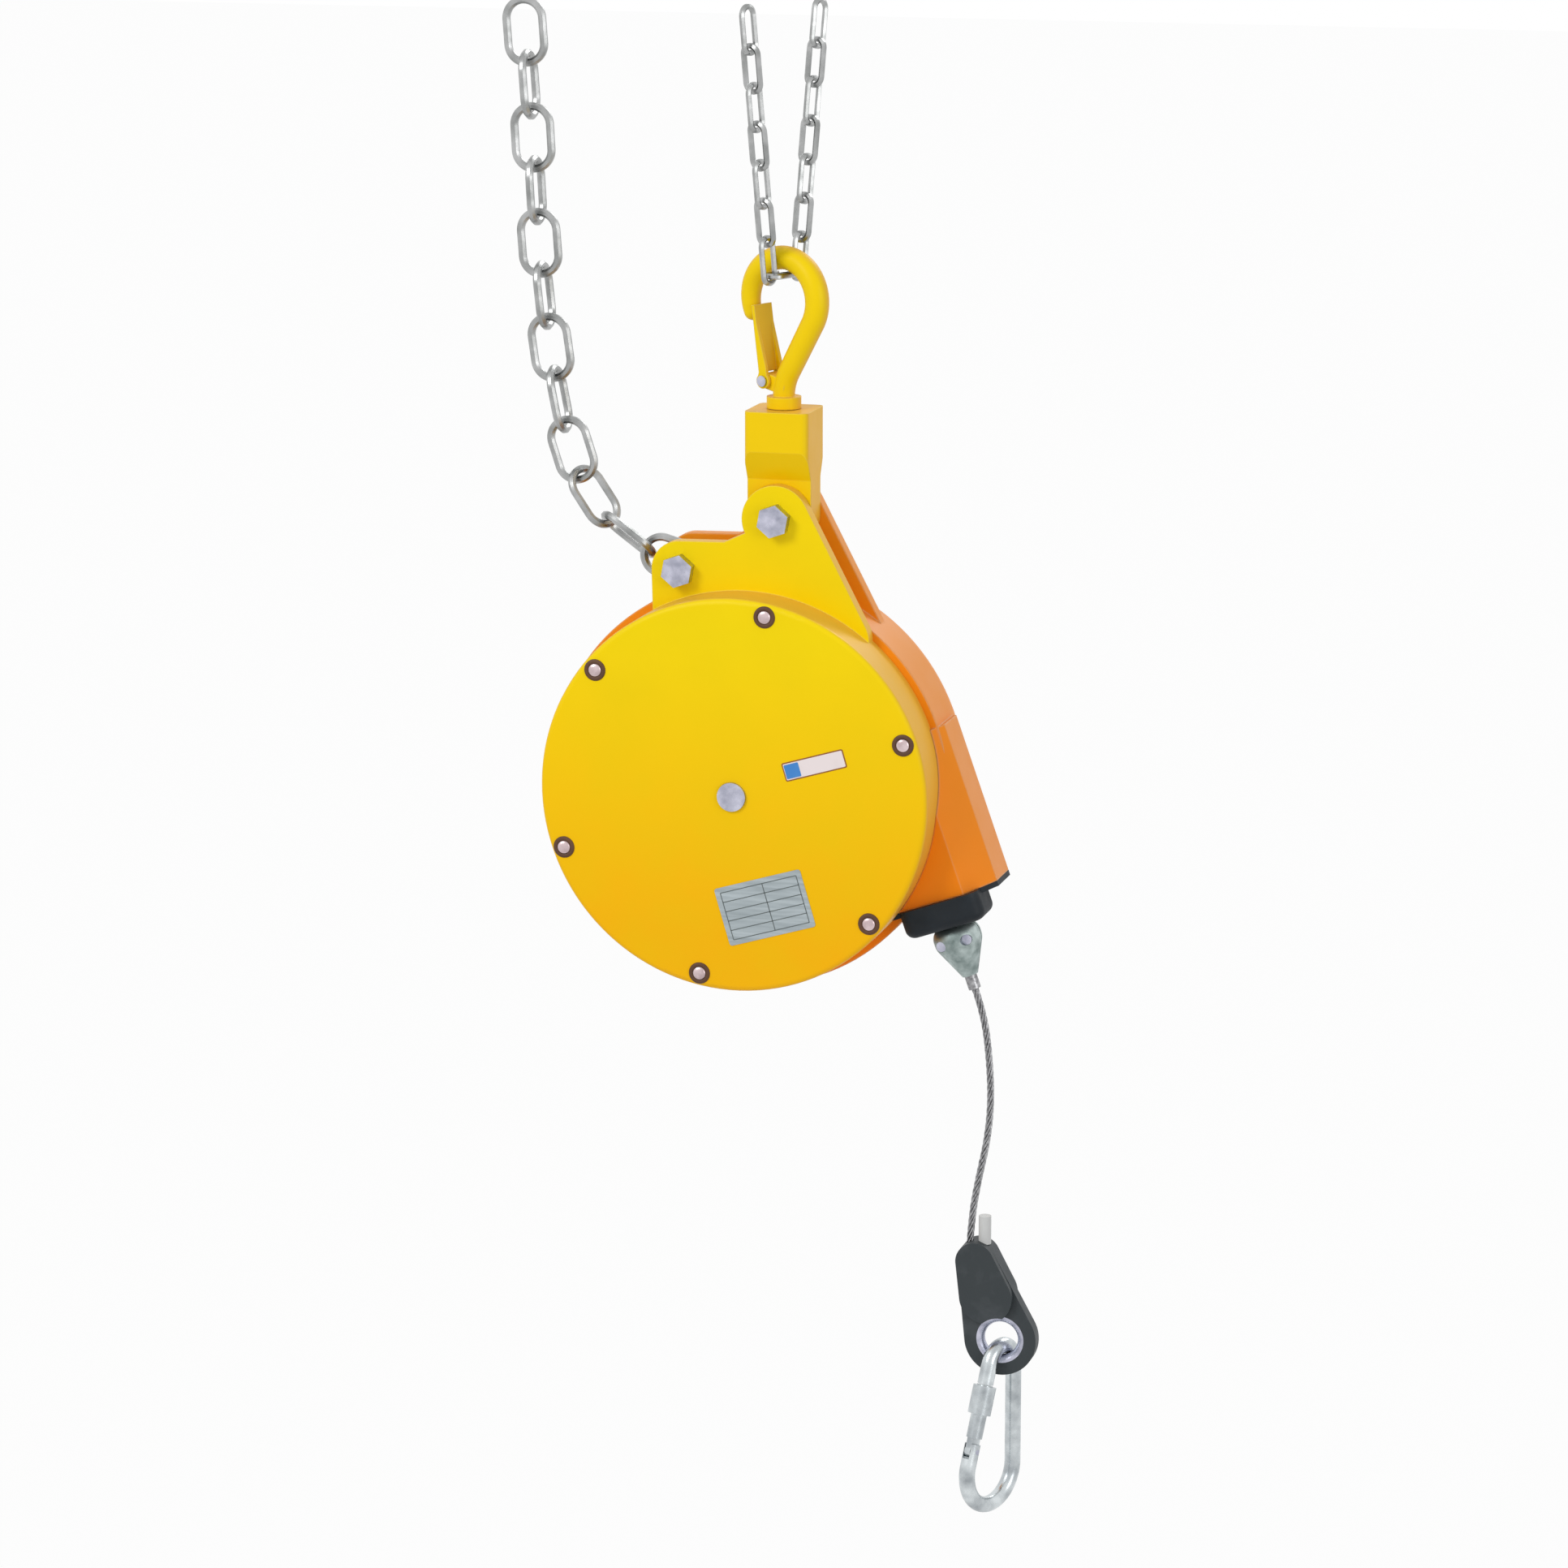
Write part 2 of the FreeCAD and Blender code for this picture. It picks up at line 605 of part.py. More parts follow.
def front_cover():
    """Round cast cover with its ear, counterbored for the cover screws."""
    blank = disc(COVER_RADIUS, FRONT_Y, FRONT_DEPTH)
    blank = blank.makeFillet(FRONT_EDGE, circle_edges(blank, COVER_RADIUS, FRONT_Y))
    body = fuse(blank, ear_plate(-GRIP / 2))
    body = body.cut(disc(CAVITY_RADIUS, FRONT_Y + WALL, FRONT_DEPTH))
    hub = disc(DRUM_HUB, FRONT_Y + 1, WALL + HUB_PAD)
    body = fuse(body, hub)
    cuts = [disc(AXLE / 2, FRONT_Y - 1, FRONT_DEPTH), rope_bore(), *ear_bores()]
    for place in around(COVER_SCREWS, COVER_SCREW_CIRCLE):
        seat = place + Y_AXIS * (FRONT_Y - 1)
        cuts.append(rod(COVER_SCREW_HEAD / 2 + CLEAR, seat, Y_AXIS, COVER_SCREW_SINK + 1))
        cuts.append(rod(COVER_SCREW / 2, seat, Y_AXIS, FRONT_DEPTH + 2))
    return body.cut(cuts)


def snout_section(base, height):
    """The snout's outline, with both outer corners bevelled, as an upright prism."""
    c = SNOUT_CHAMFER
    corners = [Vector(SNOUT_LEFT, SNOUT_FRONT, 0), Vector(SNOUT_RIGHT - c, SNOUT_FRONT, 0),
               Vector(SNOUT_RIGHT, SNOUT_FRONT + c, 0), Vector(SNOUT_RIGHT, SNOUT_REAR - c, 0),
               Vector(SNOUT_RIGHT - c, SNOUT_REAR, 0), Vector(SNOUT_LEFT, SNOUT_REAR, 0)]
    return outline(corners, Z_AXIS, base, height)


def rear_housing():
    """Round cast shell with the rear ear and the tangential snout that guides the rope out."""
    shell = disc(SHELL_RADIUS, PARTING_Y, REAR_DEPTH)
    shell = shell.makeFillet(REAR_EDGE, circle_edges(shell, SHELL_RADIUS, REAR_Y))
    snout = snout_section(-SNOUT_MOUTH, SNOUT_MOUTH)
    behind_cover = disc(COVER_RADIUS + FIT, FRONT_Y - 1, FRONT_DEPTH + 1)
    body = fuse(shell, ear_plate(EAR_GAP / 2), snout.cut(behind_cover))
    cavity = disc(CAVITY_RADIUS, PARTING_Y - 1, REAR_DEPTH + 1 - WALL)
    recess = rod(CHAIN_RECESS, chain_bolt_centre() - Y_AXIS * (EAR_GAP / 2), Y_AXIS, EAR_GAP)
    body = body.cut([cavity, recess])
    body = fuse(body, disc(DRUM_HUB, REAR_Y - WALL - HUB_PAD - 1, HUB_PAD + 2))
    cuts = [disc(AXLE / 2, PARTING_Y, REAR_DEPTH + 1), rope_bore(), *ear_bores()]
    for place in around(COVER_SCREWS, COVER_SCREW_CIRCLE):
        cuts.append(rod(COVER_SCREW / 2, place + Y_AXIS * (PARTING_Y - 1), Y_AXIS,
                        COVER_SCREW_DEPTH + 1))
    return body.cut(cuts)


def cover_screws():
    """Socket head screws that clamp the two halves of the housing."""
    screws = []
    for place in around(COVER_SCREWS, COVER_SCREW_CIRCLE):
        seat = place + Y_AXIS * (FRONT_Y + COVER_SCREW_SINK)
        head_height = COVER_SCREW_SINK + COVER_SCREW_PROUD
        head_top = seat - Y_AXIS * head_height
        head = rod(COVER_SCREW_HEAD / 2, head_top, Y_AXIS, head_height)
        shank = rod(COVER_SCREW / 2, seat - Y_AXIS, Y_AXIS,
                    1 + FRONT_DEPTH - COVER_SCREW_SINK + COVER_SCREW_DEPTH)
        socket = hexagon(COVER_SCREW_SOCKET, COVER_SOCKET_DEPTH, head_top, Y_AXIS)
        screws.append(head.fuse(shank).cut(socket))
    return Part.makeCompound(screws)


def ear_bolt(centre):
    """Hexagon bolt through both ears, head at the front and thread end at the rear."""
    start = centre - Y_AXIS * (GRIP / 2)
    head = hexagon(EAR_BOLT_FLATS, EAR_BOLT_HEAD, start - Y_AXIS * EAR_BOLT_HEAD, Y_AXIS)
    shank = rod(EAR_BOLT / 2, start, Y_AXIS, GRIP + EAR_NUT_HEIGHT + EAR_BOLT_PROUD)
    return fuse(head, shank)


def ear_nut(centre):
    start = centre + Y_AXIS * (GRIP / 2)
    nut = hexagon(EAR_BOLT_FLATS, EAR_NUT_HEIGHT, start, Y_AXIS)
    return nut.cut(rod(EAR_BOLT / 2, start - Y_AXIS, Y_AXIS, EAR_NUT_HEIGHT + 2))


def axle():
    """Fixed axle that the drum turns on, proud of the cover at the front, flatted at the rear."""
    return disc(AXLE / 2, FRONT_Y - AXLE_PROUD, FRONT_DEPTH + REAR_DEPTH + 2 * AXLE_PROUD)


def outlet_bush():
    start = Vector(ROPE_X, ROPE_Y, -SNOUT_MOUTH)
    sleeve = rod(BUSH_OUTER / 2, start, Z_AXIS, BUSH_LENGTH)
    bore = rod(BUSH_BORE / 2, start - Z_AXIS, Z_AXIS, BUSH_LENGTH + 2)
    funnel = Part.makeCone(BUSH_BORE / 2, BUSH_OUTER / 2 - 1, BUSH_FUNNEL,
                           start + Z_AXIS * (BUSH_LENGTH - BUSH_FUNNEL), Z_AXIS)
    return sleeve.cut(bore).cut(funnel)


def bumper():
    """Rubber lip under the whole mouth, with the thick block that the rope stop meets."""
    plate = snout_section(-SNOUT_MOUTH - BUMPER_PLATE, BUMPER_PLATE)
    corner = Vector(ROPE_X - BUMPER_INNER, BUMPER_FRONT, -SNOUT_MOUTH - BUMPER_HEIGHT)
    block = Part.makeBox(BUMPER_INNER + BUMPER_OUTER, BUMPER_REAR - BUMPER_FRONT, BUMPER_HEIGHT,
                         corner)
    upright = [e for e in block.Edges if e.BoundBox.ZLength > BUMPER_HEIGHT - 1]
    block = block.makeFillet(BUMPER_CORNER, upright)
    lower = [e for e in block.Edges if e.BoundBox.ZMax < -SNOUT_MOUTH - BUMPER_HEIGHT + 1e-3]
    block = block.makeFillet(BUMPER_EDGE, lower)
    round_bodies = [disc(COVER_RADIUS + FIT, FRONT_Y - 1, FRONT_DEPTH + 1),
                    disc(SHELL_RADIUS + FIT, PARTING_Y, REAR_DEPTH)]
    rope_hole = rod(BUSH_BORE / 2 + 1, Vector(ROPE_X, ROPE_Y, -SNOUT_MOUTH - BUMPER_HEIGHT - 1),
                    Z_AXIS, BUMPER_HEIGHT + 2)
    return fuse(plate, block).cut([*round_bodies, rope_hole])


# ---------------------------------------------------------------- drum and spring
DRUM_WIDTH = DRUM_WRAPS * WRAP_PITCH + 2 * DRUM_WEB
DRUM_FRONT = ROPE_Y - DRUM_WIDTH / 2
SPRING_CHAMBER = SPRING_OUTER + SPRING_STRIP / 2 + CLEAR


def drum():
    """Grooved rope drum: rim, flanges and hub, open at the front for the spring."""
    wide = disc(DRUM_RADIUS + DRUM_FLANGE, DRUM_FRONT, DRUM_WIDTH)
    groove = disc(DRUM_RADIUS + DRUM_FLANGE + 1, DRUM_FRONT + DRUM_WEB, DRUM_WIDTH - 2 * DRUM_WEB)
    groove = groove.cut(disc(DRUM_RADIUS, DRUM_FRONT, DRUM_WIDTH))
    chamber = disc(SPRING_CHAMBER, DRUM_FRONT - 1, DRUM_WIDTH + 1 - DRUM_WEB)
    blank = wide.cut([groove, chamber])
    hub = disc(DRUM_HUB / 2 + HUB_WALL, DRUM_FRONT + DRUM_WIDTH - DRUM_WEB, DRUM_WEB + HUB_LENGTH)
    return fuse(blank, hub).cut(disc(BEARING_OUTER / 2, DRUM_FRONT, DRUM_WIDTH + 2 * HUB_LENGTH))


def drum_cover():
    """Plate that closes the spring chamber and runs on the front bearing."""
    plate = disc(SPRING_CHAMBER, DRUM_FRONT, DRUM_WEB)
    hub = disc(DRUM_HUB / 2 + HUB_WALL, DRUM_FRONT - DRUM_COVER_HUB,
               DRUM_COVER_HUB + 1)
    return fuse(plate, hub).cut(disc(BEARING_OUTER / 2, DRUM_FRONT - 10, DRUM_WIDTH))


def drum_bearings():
    """Plain flanged bushes pressed into the drum and its cover, running on the axle."""
    rings = []
    for start in (DRUM_FRONT - DRUM_COVER_HUB, DRUM_FRONT + DRUM_WIDTH + HUB_LENGTH - BEARING_WIDTH):
        ring = disc(BEARING_OUTER / 2, start, BEARING_WIDTH)
        rings.append(ring.cut(disc(AXLE / 2 + FIT, start - 1, BEARING_WIDTH + 2)))
    return Part.makeCompound(rings)


def mainspring():
    """Flat spiral spring between the axle arbor and the drum's rim, wound strip on edge."""
    front = DRUM_FRONT + DRUM_WEB + SPRING_SIDE_GAP
    depth = DRUM_WIDTH - 2 * (DRUM_WEB + SPRING_SIDE_GAP)
    step = (SPRING_OUTER - SPRING_INNER) / SPRING_TURNS
    half = SPRING_STRIP / 2
    outer, inner = [], []
    for k in range(SPRING_STEPS * SPRING_TURNS + 1):
        angle = 2 * math.pi * k / SPRING_STEPS
        radius = SPRING_INNER + step * k / SPRING_STEPS
        ray = Vector(math.cos(angle), 0, math.sin(angle))
        outer.append(ray * (radius + half))
        inner.append(ray * (radius - half))
    return outline([*outer, *reversed(inner)], Y_AXIS, front, depth)


def spring_arbor():
    """Collar keyed to the axle, which the spring's inner end hooks onto."""
    front = DRUM_FRONT + DRUM_WEB + SPRING_SIDE_GAP
    depth = DRUM_WIDTH - 2 * (DRUM_WEB + SPRING_SIDE_GAP)
    ring = disc(SPRING_INNER - SPRING_STRIP / 2 - 3 * CLEAR, front, depth)
    return ring.cut(disc(AXLE / 2, front - 1, depth + 2))


def rope_wraps():
    """The rope that is wound in the drum's grooves, one ring for each turn."""
    rings = []
    for k in range(DRUM_WRAPS):
        y = ROPE_Y + (k - (DRUM_WRAPS - 1) / 2) * WRAP_PITCH
        outer = disc(DRUM_RADIUS + ROPE, y - ROPE / 2, ROPE)
        rings.append(outer.cut(disc(DRUM_RADIUS, y - ROPE, 2 * ROPE)))
    return Part.makeCompound(rings)


# ---------------------------------------------------------------- rope, stop and end fitting
STOP_TOP = -SNOUT_MOUTH - BUMPER_HEIGHT - CLEAR


def rope_line(z):
    """A point on the rope's centre line inside the snout, in the upright housing frame."""
    return Vector(ROPE_X, ROPE_Y, z)


def rope_lead():
    """The straight rope from the drum's edge through the bush and the stop."""
    ring = DRUM_RADIUS + ROPE + CLEAR
    top = -math.sqrt(ring ** 2 - DRUM_RADIUS ** 2)
    return rod(ROPE / 2, rope_line(top), -Z_AXIS, top - STOP_TOP + STOP_LENGTH + FERRULE_LENGTH)


def stop_blank():
    """The clamp's turned outline: a rounded bulb that tapers to the neck at the ferrule."""
    r, shoulder = STOP_RADIUS, STOP_RADIUS - STOP_SLOPE
    profile = [(0, 0), (shoulder, 0), (r, STOP_SLOPE), (r, STOP_WIDEST), (STOP_NECK, STOP_LENGTH),
               (0, STOP_LENGTH)]
    corners = [rope_line(STOP_TOP - z) + X_AXIS * x for x, z in profile]
    blank = Part.Face(Part.makePolygon([*corners, corners[0]])).revolve(rope_line(0), Z_AXIS, 360)
    for radius, rounding in ((r, STOP_BELLY_ROUND), (shoulder, STOP_CROWN_ROUND)):
        rings = [e for e in blank.Edges if e.Curve.TypeId == "Part::GeomCircle"
                 and abs(e.Curve.Radius - radius) < 1e-6]
        blank = blank.makeFillet(rounding, rings)
    return blank


def stop_screw_places():
    middle = rope_line(STOP_TOP - STOP_SCREW_DROP)
    return [middle + X_AXIS * (side * STOP_SCREW_SPACING / 2) for side in (-1, 1)]


def rope_stop(side):
    """One half of the split clamp, in front of the rope (-1) or behind it (1)."""
    room_size = 2 * STOP_RADIUS + 2
    corner = rope_line(STOP_TOP - STOP_LENGTH - 1) - X_AXIS * (room_size / 2)
    room = Part.makeBox(room_size, room_size, STOP_LENGTH + 2, corner)
    shift = STOP_SPLIT / 2 if side > 0 else -room_size - STOP_SPLIT / 2
    cuts = [rod(ROPE / 2, rope_line(STOP_TOP + 1), -Z_AXIS, STOP_LENGTH + 2)]
    for place in stop_screw_places():
        outside = place - Y_AXIS * room_size
        cuts.append(rod(STOP_SCREW / 2, outside, Y_AXIS, 2 * room_size))
        cuts.append(rod(STOP_SCREW, outside, Y_AXIS, room_size - STOP_SCREW_SEAT))
    return stop_blank().common(moved(room, Y_AXIS * shift)).cut(cuts)


def stop_screws():
    screws = []
    for place in stop_screw_places():
        seat = place - Y_AXIS * STOP_SCREW_SEAT
        head = rod(STOP_SCREW - FIT, seat - Y_AXIS * STOP_SCREW_HEAD, Y_AXIS, STOP_SCREW_HEAD)
        screws.append(head.fuse(rod(STOP_SCREW / 2, seat, Y_AXIS, STOP_SCREW_SEAT + STOP_SCREW_BITE)))
    return Part.makeCompound(screws)


def stop_ferrule():
    start = rope_line(STOP_TOP - STOP_LENGTH)
    sleeve = rod(FERRULE / 2, start, -Z_AXIS, FERRULE_LENGTH)
    return sleeve.cut(rod(ROPE / 2, start + Z_AXIS, -Z_AXIS, FERRULE_LENGTH + 2))


def ferrule_end():
    """Where the straight rope leaves the stop's ferrule, in the frame that the housing hangs in."""
    return hung_point(ROPE_X, ROPE_Y, STOP_TOP - STOP_LENGTH - FERRULE_LENGTH)


def flat_point(x_and_z):
    """A point of the hanging rope's plane, from its X and Z below the ferrule."""
    return ferrule_end() + Vector(x_and_z[0], 0, x_and_z[1])


def rope_points():
    straight = Rotation(Y_AXIS, -HANG_TILT).multVec(Z_AXIS * -ROPE_STRAIGHT)
    below = ferrule_end() + straight
    return [ferrule_end(), below, *map(flat_point, ROPE_ROUTE), socket_roof(SOCKET_ROPE_X)]


def socket_roof(x):
    """The point just inside the socket's rounded top, at a place along X below the ferrule."""
    reach = math.sqrt(SOCKET_TOP_RADIUS ** 2 - (x - SOCKET_TOP[0]) ** 2)
    return flat_point((x, SOCKET_TOP[1] + reach - 1))


def wire_rope():
    tube, wire, radii = round_bar(rope_points(), ROPE / 2)
    print("rope bend radii", [round(r, 1) for r in radii])
    print("rope length", round(wire.Length, 1), "volume over section times length",
          round(tube.Volume / (math.pi * ROPE ** 2 / 4 * wire.Length), 4))
    return tube


def rope_tail():
    """The sleeved dead end of the rope, which stands out of the socket's top."""
    return rod(TAIL_SLEEVE / 2, socket_roof(TAIL_X), Z_AXIS, TAIL_LENGTH)


def wedge_socket():
    """Moulded cover over the wedge: thick where the rope turns, thin round the eye."""
    top, eye = flat_point(SOCKET_TOP), flat_point(SOCKET_EYE)
    shoulder = top + (eye - top) * SOCKET_THICK_SHARE
    flat_top, flat_eye, flat_shoulder = [Vector(p.x, 0, p.z) for p in (top, eye, shoulder)]
    plate = belt(flat_top, SOCKET_TOP_RADIUS, flat_eye, SOCKET_EYE_RADIUS,
                 ROPE_Y - SOCKET_EYE_DEPTH / 2, SOCKET_EYE_DEPTH)
    body = belt(flat_top, SOCKET_TOP_RADIUS, flat_shoulder, SOCKET_TOP_RADIUS + SOCKET_SWELL,
                ROPE_Y - SOCKET_DEPTH / 2, SOCKET_DEPTH)
    seat = rod(thimble_ring_radius(), eye - Y_AXIS * SOCKET_DEPTH, Y_AXIS, 2 * SOCKET_DEPTH)
    entry = rod(ROPE / 2 + CLEAR, socket_roof(SOCKET_ROPE_X) - Z_AXIS, Z_AXIS, SOCKET_ROPE_HOLE)
    tail = rod(TAIL_SLEEVE / 2, socket_roof(TAIL_X), Z_AXIS, SOCKET_ROPE_HOLE)
    return fuse(plate, body).cut([seat, thimble(), entry, tail])


def thimble_ring_radius():
    return THIMBLE_HOLE + SOCKET_EYE_DEPTH / 2


def thimble():
    """Round-sided ring in the socket's eye, which the snap hook hangs in."""
    return Part.makeTorus(thimble_ring_radius(), SOCKET_EYE_DEPTH / 2, flat_point(SOCKET_EYE), Y_AXIS)


# ---------------------------------------------------------------- snap hook
SNAP_SPAN = SNAP_LENGTH - SNAP_WIRE - SNAP_TOP_BOW - SNAP_LOW_BOW
SNAP_SLOPE = math.asin((SNAP_LOW_BOW - SNAP_TOP_BOW) / SNAP_SPAN)


def snap_place(shape):
    """From the snap hook's own plane, top bow at the origin, to the thimble."""
    bow = snap_bow_centre()
    upright = turned(shape, math.degrees(SNAP_SLOPE), Y_AXIS)
    return moved(turned(upright, SNAP_TURN, Z_AXIS), bow)


def snap_bow_centre():
    eye = flat_point(SOCKET_EYE)
    return eye - Z_AXIS * (THIMBLE_HOLE + SNAP_TOP_BOW - SNAP_WIRE / 2 - CLEAR)


def snap_side(distance, side=-1):
    """A point down the straight side of the snap hook, measured from the top bow."""
    across = Vector(side * math.cos(SNAP_SLOPE), 0, math.sin(SNAP_SLOPE))
    down = Vector(side * math.sin(SNAP_SLOPE), 0, -math.cos(SNAP_SLOPE))
    return across * SNAP_TOP_BOW + down * distance


def snap_heading():
    return (snap_side(1) - snap_side(0)).normalize()


def snap_hook_body():
    """Pear-shaped wire hook, open down one side where the gate closes it."""
    run = SNAP_SPAN * math.cos(SNAP_SLOPE)
    low = Vector(0, 0, -SNAP_SPAN)
    path = Part.Wire([
        Part.LineSegment(snap_side(GATE_END), snap_side(run)).toShape(),
        Part.Arc(snap_side(run), low - Z_AXIS * SNAP_LOW_BOW, snap_side(run, 1)).toShape(),
        Part.LineSegment(snap_side(run, 1), snap_side(0, 1)).toShape(),
        Part.Arc(snap_side(0, 1), Z_AXIS * SNAP_TOP_BOW, snap_side(0)).toShape(),
        Part.LineSegment(snap_side(0), snap_side(GATE_START)).toShape(),
    ])
    section = Part.Wire(Part.makeCircle(SNAP_WIRE / 2, snap_side(GATE_END), snap_heading()))
    bar = path.makePipeShell([section], True, False)
    slot = Part.makeBox(2 * SNAP_WIRE, SNAP_WIRE / 2, 2 * GATE_SLOT,
                        Vector(-SNAP_WIRE, -SNAP_WIRE / 4, -GATE_SLOT))
    slot = moved(turned(slot, math.degrees(SNAP_SLOPE), Y_AXIS), snap_side(GATE_END))
    pin = rod(GATE_PIN / 2, gate_pivot() - Y_AXIS * SNAP_WIRE, Y_AXIS, 2 * SNAP_WIRE)
    return snap_place(bar.cut([slot, pin]))


def gate_pivot():
    return snap_side(GATE_END + GATE_PIVOT_INSET)


def snap_gate():
    """Hinged gate, with a flat tongue that turns on the rivet in the hook's slot."""
    start, end = snap_side(GATE_START + GATE_GAP), snap_side(GATE_END - GATE_NECK)
    bar = rod(SNAP_WIRE / 2, start, snap_heading(), (end - start).Length)
    tongue_front = gate_pivot() - Y_AXIS * (SNAP_WIRE / 4 - CLEAR)
    tongue_thickness = SNAP_WIRE / 2 - 2 * CLEAR
    tongue = rod(SNAP_WIRE / 2 - GATE_TONGUE_RELIEF, tongue_front, Y_AXIS, tongue_thickness)
    neck_half = SNAP_WIRE / 2 - 1
    neck = Part.makeBox(2 * neck_half, tongue_thickness, 2 * GATE_NECK + 2,
                        Vector(-neck_half, -SNAP_WIRE / 4 + CLEAR, -GATE_NECK - 1))
    neck = moved(turned(neck, math.degrees(SNAP_SLOPE), Y_AXIS), snap_side(GATE_END))
    gate = fuse(bar, tongue, neck)
    bore = rod(GATE_PIN / 2 + FIT, gate_pivot() - Y_AXIS * SNAP_WIRE, Y_AXIS, 2 * SNAP_WIRE)
    return snap_place(gate.cut(bore))


def gate_rivet():
    half = SNAP_WIRE / 2 - RIVET_RECESS
    return snap_place(rod(GATE_PIN / 2, gate_pivot() - Y_AXIS * half, Y_AXIS, 2 * half))


def lock_sleeve():
    """Knurled sleeve that slides up over the gate's nose to lock it."""
    start = snap_side(GATE_START + 2 * GATE_GAP)
    outer = rod(SLEEVE_OUTER / 2, start, snap_heading(), SLEEVE_LENGTH)
    bore = rod(SNAP_WIRE / 2 + FIT, start - snap_heading(), snap_heading(), SLEEVE_LENGTH + 2)
    return snap_place(outer.cut(bore))


# ---------------------------------------------------------------- all pieces
def hook_group():
    makers = (hook, hook_latch, latch_pin, hook_nut, hook_split_pin)
    return {maker.__name__: turned(maker(), -HOOK_TURN, Z_AXIS) for maker in makers}


def yoke_group():
    return {maker.__name__: maker() for maker in (yoke, thrust_washer, yoke_bush)}


def housing_group():
    makers = (front_cover, rear_housing, cover_screws, axle, spring_arbor, outlet_bush, bumper,
              drum, drum_cover, drum_bearings, mainspring, rope_wraps, rope_lead, stop_screws,
              stop_ferrule)
    pieces = {maker.__name__: maker() for maker in makers}
    pieces["rope_stop_front"] = rope_stop(-1)
    pieces["rope_stop_rear"] = rope_stop(1)
    for name, centre in (("pivot", pivot_centre()), ("chain", chain_bolt_centre())):
        pieces[name + "_bolt"] = ear_bolt(centre)
        pieces[name + "_nut"] = ear_nut(centre)
    return {name: hung(piece) for name, piece in pieces.items()}


def load_group():
    makers = (wire_rope, rope_tail, wedge_socket, thimble, snap_hook_body, snap_gate, gate_rivet,
              lock_sleeve)
    return {maker.__name__: maker() for maker in makers}


os.makedirs("parts", exist_ok=True)
for group in (sling_chain, safety_chain, hook_group, yoke_group, housing_group, load_group):
    for node, solid in group().items():
        save(node, solid)
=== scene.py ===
"""Looks of the tool balancer: finishes, stranded rope, blank labels, screw trim and studio.

Lengths are in metres in the CAD's frame: X right, Y away from the front, Z up.
"""
import math

import bpy
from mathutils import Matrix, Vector

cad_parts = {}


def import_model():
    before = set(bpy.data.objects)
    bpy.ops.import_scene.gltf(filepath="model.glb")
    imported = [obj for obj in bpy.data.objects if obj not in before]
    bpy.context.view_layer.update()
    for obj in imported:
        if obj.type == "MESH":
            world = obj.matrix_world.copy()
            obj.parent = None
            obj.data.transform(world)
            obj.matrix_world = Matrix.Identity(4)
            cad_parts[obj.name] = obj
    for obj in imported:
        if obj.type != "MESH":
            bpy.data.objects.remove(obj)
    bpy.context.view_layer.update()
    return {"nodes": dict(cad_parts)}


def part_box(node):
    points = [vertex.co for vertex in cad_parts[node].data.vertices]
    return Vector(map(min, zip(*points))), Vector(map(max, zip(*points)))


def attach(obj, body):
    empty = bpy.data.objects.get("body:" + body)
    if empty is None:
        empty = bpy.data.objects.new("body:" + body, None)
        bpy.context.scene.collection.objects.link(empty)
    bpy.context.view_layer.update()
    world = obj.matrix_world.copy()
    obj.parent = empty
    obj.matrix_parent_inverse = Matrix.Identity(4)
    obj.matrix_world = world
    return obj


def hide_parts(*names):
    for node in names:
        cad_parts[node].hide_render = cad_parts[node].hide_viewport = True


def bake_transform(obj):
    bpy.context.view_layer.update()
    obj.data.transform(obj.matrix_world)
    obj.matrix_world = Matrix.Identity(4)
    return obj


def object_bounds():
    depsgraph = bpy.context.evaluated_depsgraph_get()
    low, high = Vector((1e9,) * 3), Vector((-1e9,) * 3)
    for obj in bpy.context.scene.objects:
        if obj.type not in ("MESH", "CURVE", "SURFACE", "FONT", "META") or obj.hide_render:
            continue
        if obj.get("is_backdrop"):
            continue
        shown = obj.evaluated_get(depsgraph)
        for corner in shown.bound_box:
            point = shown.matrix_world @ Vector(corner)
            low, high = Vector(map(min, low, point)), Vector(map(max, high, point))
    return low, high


MM = 0.001

# Camera
VIEW_AZIMUTH = math.radians(15.7)
VIEW_ELEVATION = math.radians(12.4)
VIEW_DISTANCE = 3.0
VIEW_WIDTH = 0.869  # what the picture spans at the object
VIEW_CENTRE = Vector((0.0, 0.0, -0.286))

# Studio
AMBIENT = 0.62
LAMPS = (  # name, place from the view's centre, width, power in watts
    ("key_lamp", (-1.6, -2.4, 2.0), 1.4, 42),
    ("fill_lamp", (2.6, -1.6, 0.6), 1.6, 16),
    ("back_lamp", (0.8, 2.4, 1.8), 1.2, 26),
)
FLOOR_HALF = 40.0
FLOOR_GLOW = 0.95  # share of the floor that stays white in shadow
FLOOR_DROP = 0.3  # below the hook when all of the rope is out

# Enamel
COVER_PAINTED_GLOW = (0.03, 0.2)  # heights over the cover's foot between which its yellow lightens: painted light, a warm reflection on the lower cover that fades upwards
WALL_PAINTED_LIGHT = 0.65  # how far the walls that run in depth take the side colour, a painted shade (on the orange casting a paler painted sheen)
EDGE_HIGHLIGHT = 0.55  # how far sharp edges take the edge colour, a painted highlight
MOTTLE = 0.28
MOTTLE_SHADE = 0.93  # red and green of the mottling, as a share of the colour's own
ENAMEL_SPECULAR = 0.14
PLASTIC_SPECULAR = 0.35

# Rope
ROPE_DIAMETER = 4 * MM
ROPE_TRAVEL = 2.0
ROPE_ROUTE = (  # X and Z of the points that the rope's curve follows, down from the stop
    (0.11117, -0.39352),
    (0.11651, -0.40860),
    (0.11950, -0.43100),
    (0.12100, -0.45600),
    (0.11900, -0.48000),
    (0.11400, -0.50300),
    (0.11050, -0.52400),
    (0.10950, -0.53996),
)
STRANDS = 6
STRAND_PITCH = 26 * MM
STRAND_STEP = 0.8 * MM
STRAND_SIDES = 8

